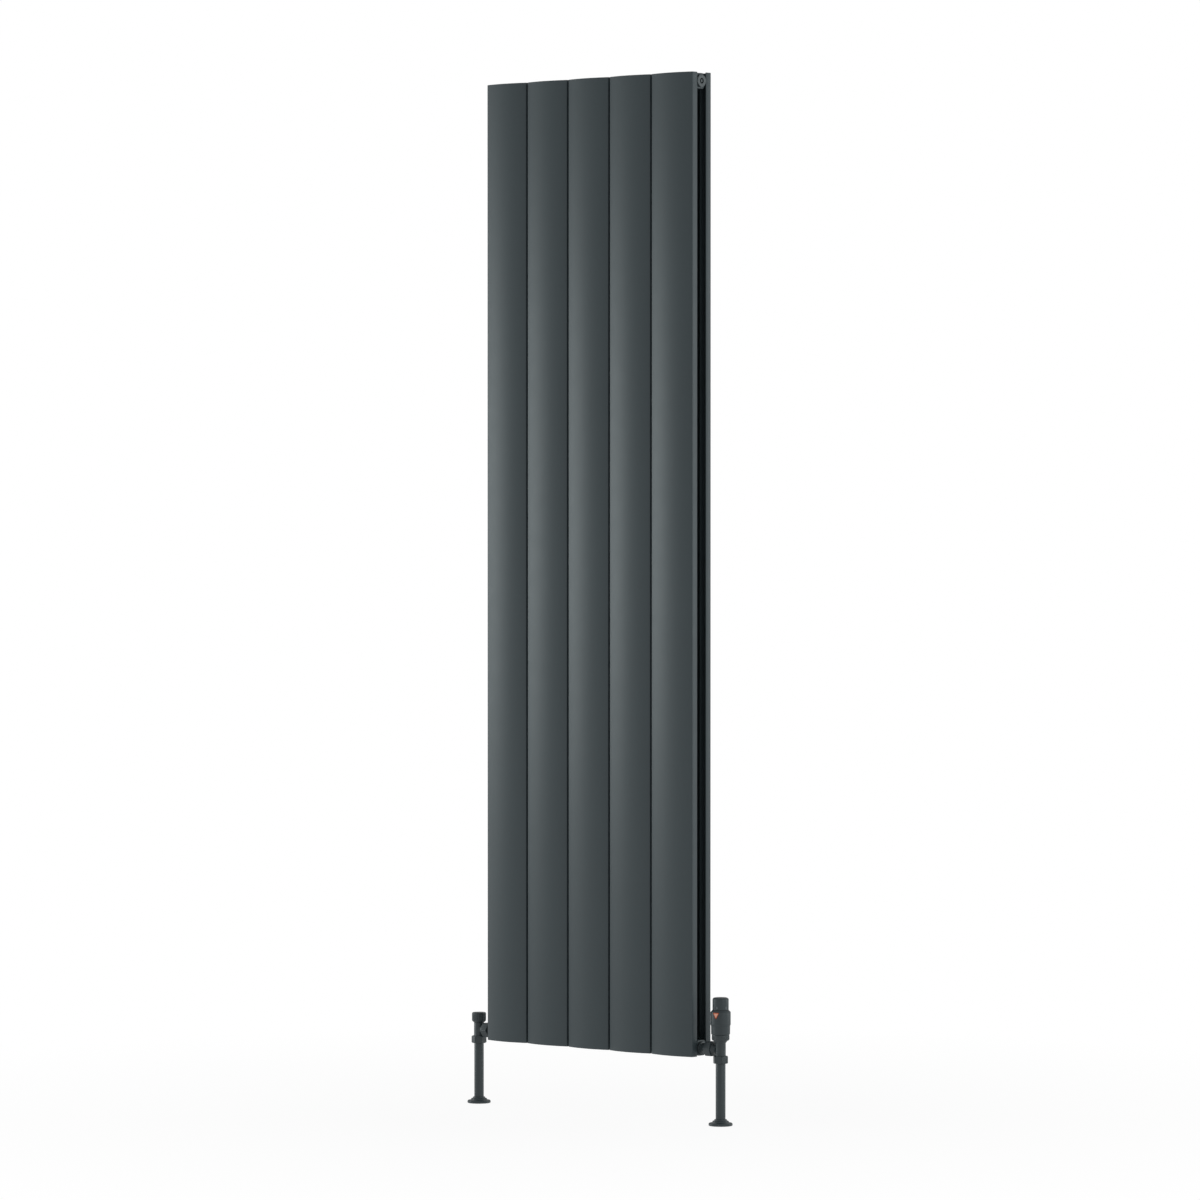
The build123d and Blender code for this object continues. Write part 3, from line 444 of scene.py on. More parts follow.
def turned(profile, segments=96, arc=2 * math.pi):
    """A turned mesh about Z. The profile is (radius, height, round) corners in millimetres,
    or a function that gives them at an angle. One with no corner on the axis is a ring."""
    profile_at = profile if callable(profile) else lambda angle: profile
    closed = min(corner[0] for corner in profile_at(0.0)) > 0
    whole = abs(arc - 2 * math.pi) < 1e-6
    columns = segments if whole else segments + 1
    bm = bmesh.new()
    grid = []
    axis_verts = {}
    for column in range(columns):
        angle = arc * column / segments
        turn = Vector((math.cos(angle), math.sin(angle), 0.0))
        line = []
        for row, (radius, height) in enumerate(softened(profile_at(angle), closed)):
            if radius < 1e-6:
                if row not in axis_verts:
                    axis_verts[row] = bm.verts.new((0.0, 0.0, height * MM))
                line.append(axis_verts[row])
            else:
                line.append(bm.verts.new(turn * radius * MM + Vector((0.0, 0.0, height * MM))))
        grid.append(line)
    rows = len(grid[0])
    for column in range(segments):
        left, right = grid[column], grid[(column + 1) % columns]
        for row in range(rows if closed else rows - 1):
            above = (row + 1) % rows
            corners = []
            for vert in (left[row], right[row], right[above], left[above]):
                if vert not in corners:
                    corners.append(vert)
            if len(corners) > 2:
                bm.faces.new(corners)
    if whole:
        bmesh.ops.recalc_face_normals(bm, faces=bm.faces)
    return written(bm)


def written(bm):
    mesh = bpy.data.meshes.new("shape")
    bm.to_mesh(mesh)
    bm.free()
    return mesh


def outline_mesh(loops):
    """Closed loops of (x, y, round share) corners in millimetres, as edges for the extruder."""
    bm = bmesh.new()
    shares = bm.verts.layers.float.new("round_share")
    for loop in loops:
        verts = []
        for x, y, round_share in loop:
            vert = bm.verts.new((x * MM, y * MM, 0.0))
            vert[shares] = round_share
            verts.append(vert)
        for a, b in zip(verts, verts[1:] + verts[:1]):
            bm.edges.new((a, b))
    return written(bm)


def joined(meshes):
    """One mesh from several, each (mesh, place)."""
    bm = bmesh.new()
    for mesh, place in meshes:
        mesh.transform(place)
        if place.determinant() < 0:
            mesh.flip_normals()
        bm.from_mesh(mesh)
    result = written(bm)
    for material in meshes[0][0].materials:
        result.materials.append(material)
    return result


def geometry_tree(name, inputs):
    """An empty geometry tree with the named inputs, and what it is given."""
    tree = bpy.data.node_groups.new(name, "GeometryNodeTree")
    for label, kind in inputs:
        tree.interface.new_socket(name=label, in_out="INPUT", socket_type="NodeSocket" + kind)
    tree.interface.new_socket(name="Piece", in_out="OUTPUT", socket_type="NodeSocketGeometry")
    graph = Graph(tree)
    return graph, graph.node("NodeGroupInput")


def closed_tree(graph, solid, given):
    """Ends a geometry tree: its instances made real, its doubles merged and its finish set."""
    real = graph.node("GeometryNodeRealizeInstances", {}, {"Geometry": solid})
    merged = graph.node("GeometryNodeMergeByDistance", {}, {"Geometry": real, "Distance": 2e-6})
    painted = graph.node("GeometryNodeSetMaterial", {},
                         {"Geometry": merged, "Material": given.of("Finish")})
    graph.node("NodeGroupOutput", {}, {"Piece": painted})
    return graph.tree


def round_repeat_tree():
    """Copies of one wedge set round the Z axis: nuts, flutes and knurls."""
    graph, given = geometry_tree("Round Repeat", [("Wedge", "Geometry"), ("Count", "Int"),
                                                  ("Finish", "Material")])
    spots = graph.node("GeometryNodePoints", {}, {"Count": given.of("Count")})
    index = graph.node("GeometryNodeInputIndex")
    turn = graph.node("ShaderNodeCombineXYZ", {},
                      {"Z": index * (2 * math.pi) / given.of("Count")})
    copies = graph.node("GeometryNodeInstanceOnPoints", {},
                        {"Points": spots, "Instance": given.of("Wedge"), "Rotation": turn})
    return closed_tree(graph, copies, given)


def extrusion_tree():
    """An outline filled and drawn out along Z: panel sections, cross tubes and their ends."""
    graph, given = geometry_tree("Extrusion", [("Outline", "Geometry"), ("Length", "Float"),
                                               ("Corner Round", "Float"), ("Finish", "Material")])
    line = graph.node("GeometryNodeMeshToCurve", {}, {"Mesh": given.of("Outline")})
    share_at = graph.node("GeometryNodeInputNamedAttribute", {"data_type": "FLOAT"},
                          {"Name": "round_share"})
    eased = graph.node("GeometryNodeFilletCurve", {"mode": "POLY"},
                       {"Curve": line, "Count": 5, "Limit Radius": True,
                        "Radius": share_at * given.of("Corner Round")})
    face = graph.node("GeometryNodeFillCurve", {"mode": "TRIANGLES"}, {"Curve": eased})
    drawn = graph.node("GeometryNodeExtrudeMesh", {"mode": "FACES"},
                       {"Mesh": face, "Offset": (0.0, 0.0, 1.0),
                        "Offset Scale": given.of("Length"), "Individual": False})
    foot = graph.node("GeometryNodeFlipFaces", {}, {"Mesh": face})
    both = graph.node("GeometryNodeJoinGeometry", {}, {"Geometry": [drawn, foot]})
    return closed_tree(graph, both, given)


trees = {}


def grown(mesh, make_tree, values, edge=0.0):
    """The mesh that a geometry tree makes from another, with eased edges if edge is given."""
    if make_tree not in trees:
        trees[make_tree] = make_tree()
    tree = trees[make_tree]
    seed = bpy.data.objects.new("seed", mesh)
    bpy.context.scene.collection.objects.link(seed)
    modifier = seed.modifiers.new("Tree", "NODES")
    modifier.node_group = tree
    identifiers = {item.name: item.identifier for item in tree.interface.items_tree
                   if item.in_out == "INPUT"}
    for name, value in values.items():
        modifier[identifiers[name]] = value
    if edge:
        add_bevel(seed, edge)
    return settled_mesh(seed)


def add_bevel(obj, width, angle=34.0, steps=2):
    bevel = obj.modifiers.new("Eased Edges", "BEVEL")
    bevel.width = width
    bevel.segments = steps
    bevel.limit_method = "ANGLE"
    bevel.angle_limit = math.radians(angle)
    bevel.harden_normals = False
    bevel.miter_outer = "MITER_ARC"


def settled_mesh(obj):
    """The plain mesh of an object with its modifiers, which is then removed."""
    bpy.context.view_layer.update()
    depsgraph = bpy.context.evaluated_depsgraph_get()
    mesh = bpy.data.meshes.new_from_object(obj.evaluated_get(depsgraph))
    obj.modifiers.clear()
    bpy.data.objects.remove(obj)
    return mesh


def piece(name, mesh, slot, nodes, smooth=32.0, body=None):
    """Puts a finished mesh in the scene, in place of those CAD nodes."""
    if slot and not mesh.materials:
        mesh.materials.append(finish(slot))
    for face in mesh.polygons:
        face.use_smooth = True
    mesh.set_sharp_from_angle(angle=math.radians(smooth))
    mesh.name = name
    obj = bpy.data.objects.new(name, mesh)
    bpy.context.scene.collection.objects.link(obj)
    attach(obj, body or frame["nodes"][nodes[0]]["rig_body"])
    if nodes:
        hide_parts(*nodes)
    return obj


NODE_SLOTS = {s["node"]: s["material_slot"] for s in frame["record"]["subparts"]}


def eased(node, width, angle=34.0):
    """A CAD node's shape with its cut edges eased, in its own finish."""
    bm = bmesh.new()
    bm.from_mesh(frame["nodes"][node].data)
    bmesh.ops.remove_doubles(bm, verts=bm.verts, dist=1e-6)
    bmesh.ops.dissolve_limit(bm, angle_limit=math.radians(0.5), verts=bm.verts, edges=bm.edges)
    mesh = written(bm)
    if "custom_normal" in mesh.attributes:
        mesh.attributes.remove(mesh.attributes["custom_normal"])
    mesh.materials.clear()
    mesh.materials.append(finish(NODE_SLOTS[node]))
    holder = bpy.data.objects.new("holder", mesh)
    bpy.context.scene.collection.objects.link(holder)
    add_bevel(holder, width, angle)
    return piece(node + "_eased", settled_mesh(holder), NODE_SLOTS[node], [node])


def repainted(*nodes):
    """Gives CAD nodes that keep their shape the finish of their slots."""
    for node in nodes:
        for holder in frame["nodes"][node].material_slots:
            holder.material = finish(NODE_SLOTS[node])


def standing(origin):
    return Matrix.Translation(origin)


def along_x(origin, direction):
    """Takes a shape drawn up Z to lie along X from origin, in the direction given by its sign."""
    turn = Matrix.Rotation(math.pi / 2 * (1 if direction > 0 else -1), 4, "Y")
    return Matrix.Translation(origin) @ turn


def wedges(profile_at, count, slot, segments):
    """A turned shape that repeats round its axis, made from one wedge."""
    wedge = turned(profile_at, segments, 2 * math.pi / count)
    mesh = grown(wedge, round_repeat_tree, {"Count": count, "Finish": finish(slot)})
    bm = bmesh.new()
    bm.from_mesh(mesh)
    bmesh.ops.recalc_face_normals(bm, faces=bm.faces)
    bm.to_mesh(mesh)
    bm.free()
    return mesh


# ---------------------------------------------------------------- panels

def bowed(x, half_width, crown):
    """How far in front of its edges a bowed face lies, as a negative y."""
    radius = (half_width ** 2 + crown ** 2) / (2 * crown)
    return (radius - crown) - math.sqrt(radius ** 2 - x ** 2)


def section_loops(p, width, crown, depth, steps=56):
    """A section's outline and its water channel's, its edges on y = 0 and its crown at -Y."""
    half = width / 2
    skin, side = p.skin / MM, p.side / MM
    inner_half = half - side
    channel = p.channel_width / 2 / MM
    wall = p.channel_wall / MM
    fin_out = (p.fin_offset + p.fin_thickness / 2) / MM
    fin_in = (p.fin_offset - p.fin_thickness / 2) / MM
    fin_end = depth - p.fin_space / MM
    clear = 2.5 * p.edge_round / MM
    stops = [-half + clear + (width - 2 * clear) * i / steps for i in range(steps + 1)]
    outer = [(-half, depth, 0.0), (-half, 0.0, 1.0)]
    outer += [(x, bowed(x, half, crown), 0.0) for x in stops]
    outer += [(half, 0.0, 1.0), (half, depth, 0.0)]

    def inner(start, end, count):
        stops = [start + (end - start) * i / count for i in range(count + 1)]
        return [(x, skin + bowed(x, inner_half, crown), 0.0) for x in stops]

    right = [(inner_half, depth, 0.0)] + inner(inner_half, fin_out, 8)
    right += [(fin_out, fin_end, 0.0), (fin_in, fin_end, 0.0)] + inner(fin_in, channel, 8)
    right += [(channel, depth, 0.0)]
    left = [(-x, y, 0.0) for x, y, _ in reversed(right)]
    void_front = skin - crown + 0.6
    void = rounded_rectangle(2 * (channel - wall), depth - wall - void_front, 2.0,
                             (0.0, (depth - wall + void_front) / 2))
    return [outer + right + left, void]


def rounded_rectangle(width, depth, radius, centre=(0.0, 0.0)):
    corners = [(-width / 2, -depth / 2, radius), (width / 2, -depth / 2, radius),
               (width / 2, depth / 2, radius), (-width / 2, depth / 2, radius)]
    return [(p.x + centre[0], p.y + centre[1], 0.0) for p in softened(corners, True, 6)]


def circle(radius, count=64):
    turns = [2 * math.pi * i / count for i in range(count)]
    return [(radius * math.cos(a), radius * math.sin(a), 0.0) for a in turns]


def extruded(loops, length, slot, edge, corner_round=0.0):
    return grown(outline_mesh(loops), extrusion_tree,
                 {"Length": length, "Corner Round": corner_round, "Finish": finish(slot)}, edge)


SIDE_DEPTH = 13.4       # from a section's outer edges to the back of its folded sides
PORT_THREAD = 12.0      # depth of the thread in a header's end
PORT_BORE = 10.35
PORT_WAY = 7.0


class RADIATOR_OT_panels(bpy.types.Operator):
    """Draws the bowed sections of the front and back panels"""
    bl_idname = "radiator.panels"
    bl_label = "Panel Sections"

    def execute(self, context):
        p = sizes()
        low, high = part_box("front_section_1")
        width = (high.x - low.x) / MM
        crown = (high.y - low.y) / MM - SIDE_DEPTH
        for row, turn in (("front", 0.0), ("back", math.pi)):
            for number in range(1, SECTION_COUNT + 1):
                node = f"{row}_section_{number}"
                low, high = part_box(node)
                loops = section_loops(p, width, crown, SIDE_DEPTH)
                mesh = extruded(loops, high.z - low.z, "panel_paint", p.saw_edge, p.edge_round)
                edge_y = high.y - SIDE_DEPTH * MM if row == "front" else low.y + SIDE_DEPTH * MM
                place = Matrix.Translation(((low.x + high.x) / 2, edge_y, low.z))
                mesh.transform(place @ Matrix.Rotation(turn, 4, "Z"))
                piece(node + "_extrusion", mesh, "panel_paint", [node], smooth=24.0)
        eased("channel_plugs", 0.2 * MM)
        return {"FINISHED"}


class RADIATOR_OT_headers(bpy.types.Operator):
    """Draws the cross tubes between the panels and their threaded ends, and gives the nipples, gaskets
    and flow baffle their finishes
    """
    bl_idname = "radiator.headers"
    bl_label = "Headers"

    def execute(self, context):
        p = sizes()
        wall = p.header_wall / MM
        for node in ("top_header", "bottom_header"):
            low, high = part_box(node)
            depth, height = (high.y - low.y) / MM, (high.z - low.z) / MM
            loops = [rounded_rectangle(height, depth, 6.0),
                     rounded_rectangle(height - 2 * wall, depth - 2 * wall, 3.5)]
            mesh = extruded(loops, high.x - low.x, "header_paint", p.saw_edge)
            mesh.transform(along_x((low.x, middle(node).y, middle(node).z), 1))
            piece(node + "_tube", mesh, "header_paint", [node], smooth=24.0)
            self.ends(node, high.x)
        repainted("section_nipples", "nipple_gaskets", "flow_baffle")
        return {"FINISHED"}

    def ends(self, header, tube_end):
        """The threaded ends: a counterbore for the thread, and a narrower way behind it."""
        node = header + "_bosses"
        low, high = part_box(node)
        depth, height = (high.y - low.y) / MM, (high.z - low.z) / MM
        outer = rounded_rectangle(height, depth, 7.0)
        thread_length = PORT_THREAD * MM
        parts = []
        for side in (-1, 1):
            face = Vector((side * high.x, middle(node).y, middle(node).z))
            back = side * tube_end
            parts.append((extruded([outer, circle(PORT_BORE)], thread_length, "header_paint",
                                   0.3 * MM), along_x(face, -side)))
            inner = Vector((face.x - side * thread_length, face.y, face.z))
            rest = abs(inner.x - back)
            parts.append((extruded([outer, circle(PORT_WAY)], rest, "header_paint", 0.0),
                          along_x(inner, -side)))
        piece(node + "_ends", joined(parts), "header_paint", [node], smooth=24.0)


# ---------------------------------------------------------------- port fittings

def hex_reach(angle):
    """The distance to a hexagon's edge at an angle, for a hexagon one unit to its flats."""
    offset = (angle + math.pi / 6) % (math.pi / 3) - math.pi / 6
    return 1.0 / math.cos(offset)


def nut_profile(flat, low, high, chamfer, inside):
    """A hexagonal nut's profile at an angle, its corners turned off by a cone at both ends.
    inside lists the bore's corners from its top to its foot."""
    corner = flat / math.cos(math.pi / 6)

    def at(angle):
        reach = min(flat * hex_reach(angle), corner * 0.985)
        part = max((reach - flat) / (corner - flat), 0.03)
        drop = chamfer * part
        return [(flat - 0.25, low, 0.2), (reach, low + drop, 0.2), (reach, high - drop, 0.2),
                (flat - 0.25, high, 0.2)] + inside
    return at


SEAL = 1.5
SEAL_BORE = 10.4
SEAL_GAP = 0.05
FLANGE_RADIUS = 11.6
THREAD_RADIUS = 10.3
PLUG_LENGTH = 10.0
PLUG_TOP = SEAL + 2.4
KEY_FLAT = 5.0
KEY_DEPTH = 6.0
VENT_WAY = 1.2
VENT_RECESS_RADIUS = 5.0
VENT_RECESS = 4.56
VENT_THREAD_RADIUS = 3.06
VENT_THREAD_END = 12.6


def thread(radius, start, end, pitch=1.81, depth=0.55):
    """Profile corners for a run of thread, drawn as rings."""
    corners = []
    step = pitch if end > start else -pitch
    turns = int(abs(end - start) / pitch)
    for i in range(turns):
        at = start + i * step
        corners += [(radius - depth, at + step * 0.08, 0.0), (radius, at + step * 0.4, 0.0),
                    (radius, at + step * 0.6, 0.0)]
    return corners + [(radius - depth, end, 0.0)]


def plug_flank():
    return ([(THREAD_RADIUS - 0.9, -PLUG_LENGTH, 0.3)] + thread(THREAD_RADIUS, -PLUG_LENGTH + 0.6, SEAL)
            + [(FLANGE_RADIUS, SEAL, 0.2), (FLANGE_RADIUS, PLUG_TOP, 0.7)])


class RADIATOR_OT_port_fittings(bpy.types.Operator):
    """Turns the blanking plug and the air vent of the upper ports, and lays the port seals"""
    bl_idname = "radiator.port_fittings"
    bl_label = "Port Fittings"

    def execute(self, context):
        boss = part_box("top_header_bosses")
        y, z = middle("top_header").y, TOP_Z

        def blank(angle):
            reach = KEY_FLAT * hex_reach(angle)
            return [(0.0, -PLUG_LENGTH, 0.0)] + plug_flank() + [
                (KEY_FLAT * 1.22, PLUG_TOP, 0.2), (reach, PLUG_TOP - 0.5, 0.1),
                (reach, PLUG_TOP - KEY_DEPTH, 0.2), (0.0, PLUG_TOP - KEY_DEPTH, 0.0)]

        mesh = wedges(blank, 6, "valve_paint", 16)
        mesh.transform(along_x((boss[0].x, y, z), -1))
        piece("blanking_plug_turned", mesh, "valve_paint", ["blanking_plug"])
        recess, thread_end = PLUG_TOP - VENT_RECESS, PLUG_TOP - VENT_THREAD_END
        vent = [(VENT_WAY, -PLUG_LENGTH, 0.2)] + plug_flank() + [
            (VENT_RECESS_RADIUS, PLUG_TOP, 0.4), (VENT_RECESS_RADIUS, recess, 0.3),
            (VENT_THREAD_RADIUS, recess, 0.2), (VENT_THREAD_RADIUS, thread_end, 0.0),
            (VENT_WAY, thread_end, 0.0)]
        mesh = turned(vent)
        mesh.transform(along_x((boss[1].x, y, z), 1))
        piece("air_vent_plug_turned", mesh, "valve_paint", ["air_vent_plug"])
        eased("air_vent_screw", 0.25 * MM)
        parts = []
        rim = FLANGE_RADIUS - 0.1
        for node, height in (("top_header_bosses", TOP_Z), ("bottom_header_bosses", PORT_Z)):
            for sign in (-1, 1):
                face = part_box(node)[1].x * sign
                ring = turned([(SEAL_BORE, SEAL_GAP, 0.2), (rim, SEAL_GAP, 0.5),
                               (rim, SEAL - SEAL_GAP, 0.5), (SEAL_BORE, SEAL - SEAL_GAP, 0.2)])
                parts.append((ring, along_x((face, y, height), sign)))
        piece("port_seal_rings", joined(parts), "seal_rubber", ["port_seals"])
        return {"FINISHED"}


# ---------------------------------------------------------------- brackets

class RADIATOR_OT_brackets(bpy.types.Operator):
    """Eases the edges of the wall plates, hook arms, bolts, nuts and pads"""
    bl_idname = "radiator.brackets"
    bl_label = "Wall Brackets"

    def execute(self, context):
        edge = fittings().edge
        for corner in ("top_left", "top_right", "bottom_left", "bottom_right"):
            eased(corner + "_wall_plate", edge)
            eased(corner + "_hook_arm", edge)
        eased("hook_pads", edge * 0.8)
        eased("bracket_bolts", edge * 0.7)
        eased("bracket_nuts", edge * 0.6)
        return {"FINISHED"}


# ---------------------------------------------------------------- unions and pipe joints

BRANCH_FACE = 25.4
BRANCH_BORE = 5.5
UNION_NUT = 26.5
UNION_BORE = 9.15
UNION_THREAD = 10.65
COMPRESSION_NUT = 25.0
COMPRESSION_BORE = 8.2
COMPRESSION_THREAD = 9.95
THREAD_FOOT = -19.5
NUT_TOP = -12.0
SLEEVE_TOP = -25.7
SEAT_TOP = -6.0
SEAT_FOOT = -8.0
SEAT_BORE = 4.5
WATERWAY = 6.0
UPPER_BORE = 7.0
PIPE_BORE = 7.6
PIPE_STOP = THREAD_FOOT + 10.0


class RADIATOR_OT_unions(bpy.types.Operator):
    """Makes the tailpieces, the union nuts and the compression nuts of both valves"""
    bl_idname = "radiator.unions"
    bl_label = "Unions"

    def execute(self, context):
        low, lip, high = BRANCH_FACE - 8.9, BRANCH_FACE + 3.0, BRANCH_FACE + 6.1
        bore = [(UNION_BORE, high, 0.3), (UNION_BORE, lip, 0.0), (UNION_THREAD, lip, 0.0),
                (UNION_THREAD, low, 0.3)]
        union = nut_profile(UNION_NUT / 2, low, high, 1.3, bore)
        foot = THREAD_FOOT - 3.5
        bore = [(COMPRESSION_THREAD, NUT_TOP, 0.3), (COMPRESSION_THREAD, foot, 0.0),
                (COMPRESSION_BORE, foot, 0.0), (COMPRESSION_BORE, SLEEVE_TOP, 0.2)]
        pinch = nut_profile(COMPRESSION_NUT / 2, SLEEVE_TOP, NUT_TOP, 1.6, bore)
        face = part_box("bottom_header_bosses")[1].x
        boss = (RIGHT_AXIS.x - face) / MM
        flange = boss - SEAL
        seat = BRANCH_FACE + 0.1
        tail = ([(BRANCH_BORE, seat, 0.2), (10.4, seat, 0.3), (10.4, seat + 2.8, 0.3),
                 (9.0, seat + 2.8, 0.3),
                 (9.0, flange - 3.0, 0.6), (FLANGE_RADIUS, flange - 2.6, 0.7),
                 (FLANGE_RADIUS, flange, 0.3)]
                + thread(THREAD_RADIUS, flange, boss + PLUG_LENGTH - 0.6)
                + [(THREAD_RADIUS - 0.9, boss + PLUG_LENGTH, 0.2),
                   (BRANCH_BORE, boss + PLUG_LENGTH, 0.3)])
        unions, tails, pinches = [], [], []
        for sign, axis in ((1, LEFT_AXIS), (-1, RIGHT_AXIS)):
            unions.append((wedges(union, 6, "valve_paint", 18), along_x(axis, sign)))
            tails.append((turned(tail), along_x(axis, sign)))
            turn = Matrix.Rotation(math.radians(8.0 * sign), 4, "Z")
            pinches.append((wedges(pinch, 6, "valve_paint", 18), standing(axis) @ turn))
        piece("union_nut_pair", joined(unions), "valve_paint", ["union_nuts"], smooth=28.0)
        piece("tailpiece_pair", joined(tails), "valve_paint", ["valve_tails"])
        piece("compression_nut_pair", joined(pinches), "valve_paint", ["compression_nuts"],
              smooth=28.0)
        repainted("compression_olives")
        return {"FINISHED"}


def valve_body(upper, inner_top, top):
    """The upright of an angle valve as a bored turning; upper lists its outer corners."""
    return turned([(9.3, THREAD_FOOT, 0.3), (9.9, THREAD_FOOT + 0.7, 0.1), (9.9, -11.2, 0.2),
                   (9.5, -10.4, 0.3)] + upper
                  + [(8.0, top, 0.3)] + inner_top
                  + [(UPPER_BORE, SEAT_TOP, 0.2), (SEAT_BORE, SEAT_TOP, 0.3),
                     (SEAT_BORE, SEAT_FOOT, 0.3), (WATERWAY, SEAT_FOOT, 0.0),
                     (WATERWAY, PIPE_STOP, 0.2), (PIPE_BORE, PIPE_STOP, 0.0),
                     (PIPE_BORE, THREAD_FOOT, 0.4)], 112)


def branch():
    """The arm towards the radiator, which swells where it leaves the upright."""
    return turned([(BRANCH_BORE, 6.6, 0.0), (8.9, 6.6, 0.0), (8.35, 8.6, 1.6), (8.0, 10.4, 1.2),
                   (8.3, 12.0, 1.4), (10.1, 15.6, 1.0), (10.6, 16.4, 0.3),
                   (10.6, BRANCH_FACE, 0.4), (BRANCH_BORE, BRANCH_FACE, 0.3)])


# ---------------------------------------------------------------- lockshield valve

LOCK_TOP = 12.0
SPINDLE_BORE = 3.06
GLAND_RADIUS = 4.86
GLAND_LOW = 15.0
GLAND_HIGH = 17.0
CAP_LOW = 13.3
CAP_TOP = 32.3
CAP_BORE = 6.46
CAP_BORE_TOP = 20.6


class RADIATOR_OT_lockshield(bpy.types.Operator):
    """Turns the lockshield valve's body, its headwork and its fluted cap"""
    bl_idname = "radiator.lockshield"
    bl_label = "Lockshield Valve"

    def execute(self, context):
        upright = valve_body([(9.5, LOCK_TOP, 0.4)], [(8.0, 6.5, 0.0), (UPPER_BORE, 6.5, 0.2)],
                             LOCK_TOP)
        body = joined([(upright, standing(LEFT_AXIS)), (branch(), along_x(LEFT_AXIS, 1))])
        piece("lockshield_body_turned", body, "valve_paint", ["lockshield_body"])
        self.headwork()
        self.cap(fittings())
        eased("lockshield_spindle", 0.25 * MM)
        repainted("lockshield_plug", "lockshield_seat_washer")
        return {"FINISHED"}

    def headwork(self):
        bore, groove = SPINDLE_BORE, GLAND_RADIUS
        mesh = turned([(bore, 6.5, 0.1), (7.95, 6.5, 0.3), (7.95, LOCK_TOP, 0.0), (9.4, LOCK_TOP, 0.2),
                       (9.4, LOCK_TOP + 1.2, 0.3), (6.4, LOCK_TOP + 1.2, 0.2),
                       (6.4, LOCK_TOP + 8.0, 0.5), (bore, LOCK_TOP + 8.0, 0.4),
                       (bore, GLAND_HIGH, 0.0), (groove, GLAND_HIGH, 0.0), (groove, GLAND_LOW, 0.0),
                       (bore, GLAND_LOW, 0.0)])
        mesh.materials.append(finish("brass"))
        mesh.materials.append(finish("valve_paint"))
        for face in mesh.polygons:
            at = face.center
            face.material_index = int(at.z > (LOCK_TOP - 0.1) * MM and math.hypot(at.x, at.y) > 6.5 * MM)
        mesh.transform(standing(LEFT_AXIS))
        piece("lockshield_headwork_turned", mesh, "brass", ["lockshield_headwork"])

    def cap(self, f):
        """A push-on cap with finger flutes that run out at both ends of its grip."""
        radius = CAP_RADIUS
        count = f.flutes
        depth = f.flute_depth / MM

        def at(angle):
            hollow = depth * max(0.0, math.cos(count * angle)) ** 0.7
            grip = radius - hollow
            return [(10.0, CAP_LOW, 0.3), (radius - 0.5, CAP_LOW + 2.9, 0.8),
                    (grip, CAP_LOW + 4.4, 0.6), (grip, CAP_TOP - 2.6, 0.8),
                    (radius - 0.35, CAP_TOP - 1.2, 0.5), (radius - 1.5, CAP_TOP, 0.9),
                    (8.2, CAP_TOP, 0.5), (7.6, CAP_TOP - 0.35, 0.4), (0.0, CAP_TOP - 0.35, 0.0)]

        def inside(angle):
            return [(0.0, CAP_TOP - 4.0, 0.0), (4.6, CAP_TOP - 4.0, 0.5), (4.6, CAP_BORE_TOP, 0.2),
                    (CAP_BORE, CAP_BORE_TOP, 0.2), (CAP_BORE, CAP_LOW, 0.3)]

        def whole(angle):
            return inside(angle) + at(angle)

        mesh = wedges(whole, count, "knob_plastic", 10)
        mesh.transform(standing(LEFT_AXIS))
        piece("lockshield_cap_moulded", mesh, "knob_plastic", ["lockshield_cap"], smooth=40.0)


# ---------------------------------------------------------------- thermostatic valve

TRV_TOP = 23.5


class RADIATOR_OT_thermostatic_valve(bpy.types.Operator):
    """Turns the thermostatic valve's body and the knurled ring nut that holds its head"""
    bl_idname = "radiator.thermostatic_valve"
    bl_label = "Thermostatic Valve"

    def execute(self, context):
        upper = [(9.5, 11.6, 1.5), (12.9, 16.0, 1.0)] + thread(12.9, 16.6, TRV_TOP - 0.6, 1.5, 0.4)
        inner = [(8.0, 6.0, 0.0), (UPPER_BORE, 6.0, 0.2)]
        upright = valve_body(upper + [(12.2, TRV_TOP, 0.2)], inner, TRV_TOP)
        body = joined([(upright, standing(RIGHT_AXIS)), (branch(), along_x(RIGHT_AXIS, -1))])
        piece("trv_body_turned", body, "valve_paint", ["trv_body"])
        f = fittings()
        radius = span("trv_ring_nut").x / 2 / MM
        count, depth = f.knurls, f.knurl_depth / MM

        def at(angle):
            grip = radius - depth * (0.5 - 0.5 * math.cos(count * angle))
            return [(13.0, 16.4, 0.2), (14.6, 16.4, 0.3), (radius - 0.45, 18.0, 0.4),
                    (grip, 18.8, 0.3), (grip, 25.4, 0.3), (radius - 0.45, 26.1, 0.2),
                    (radius - 0.6, 26.8, 0.2), (11.7, 26.8, 0.2), (11.7, 25.4, 0.0), (13.0, 25.4, 0.1)]

        mesh = wedges(at, count, "valve_paint", 8)
        mesh.transform(standing(RIGHT_AXIS))
        piece("trv_ring_nut_knurled", mesh, "valve_paint", ["trv_ring_nut"], smooth=40.0)
        repainted("trv_insert", "trv_spring_seat", "trv_pin", "trv_seat_washer", "gland_seals")
        self.spring()
        return {"FINISHED"}

    def spring(self):
        """The return spring, which shortens as the pin goes down. A squash works by how far a
        joint is from rest, so the spring also shortens on the way up, where it should lengthen."""
        mesh = frame["nodes"]["trv_spring"].data.copy()
        mesh.materials.clear()
        wound = piece("trv_spring_wound", mesh, NODE_SLOTS["trv_spring"], ["trv_spring"])
        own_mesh(wound)


# ---------------------------------------------------------------- thermostatic head

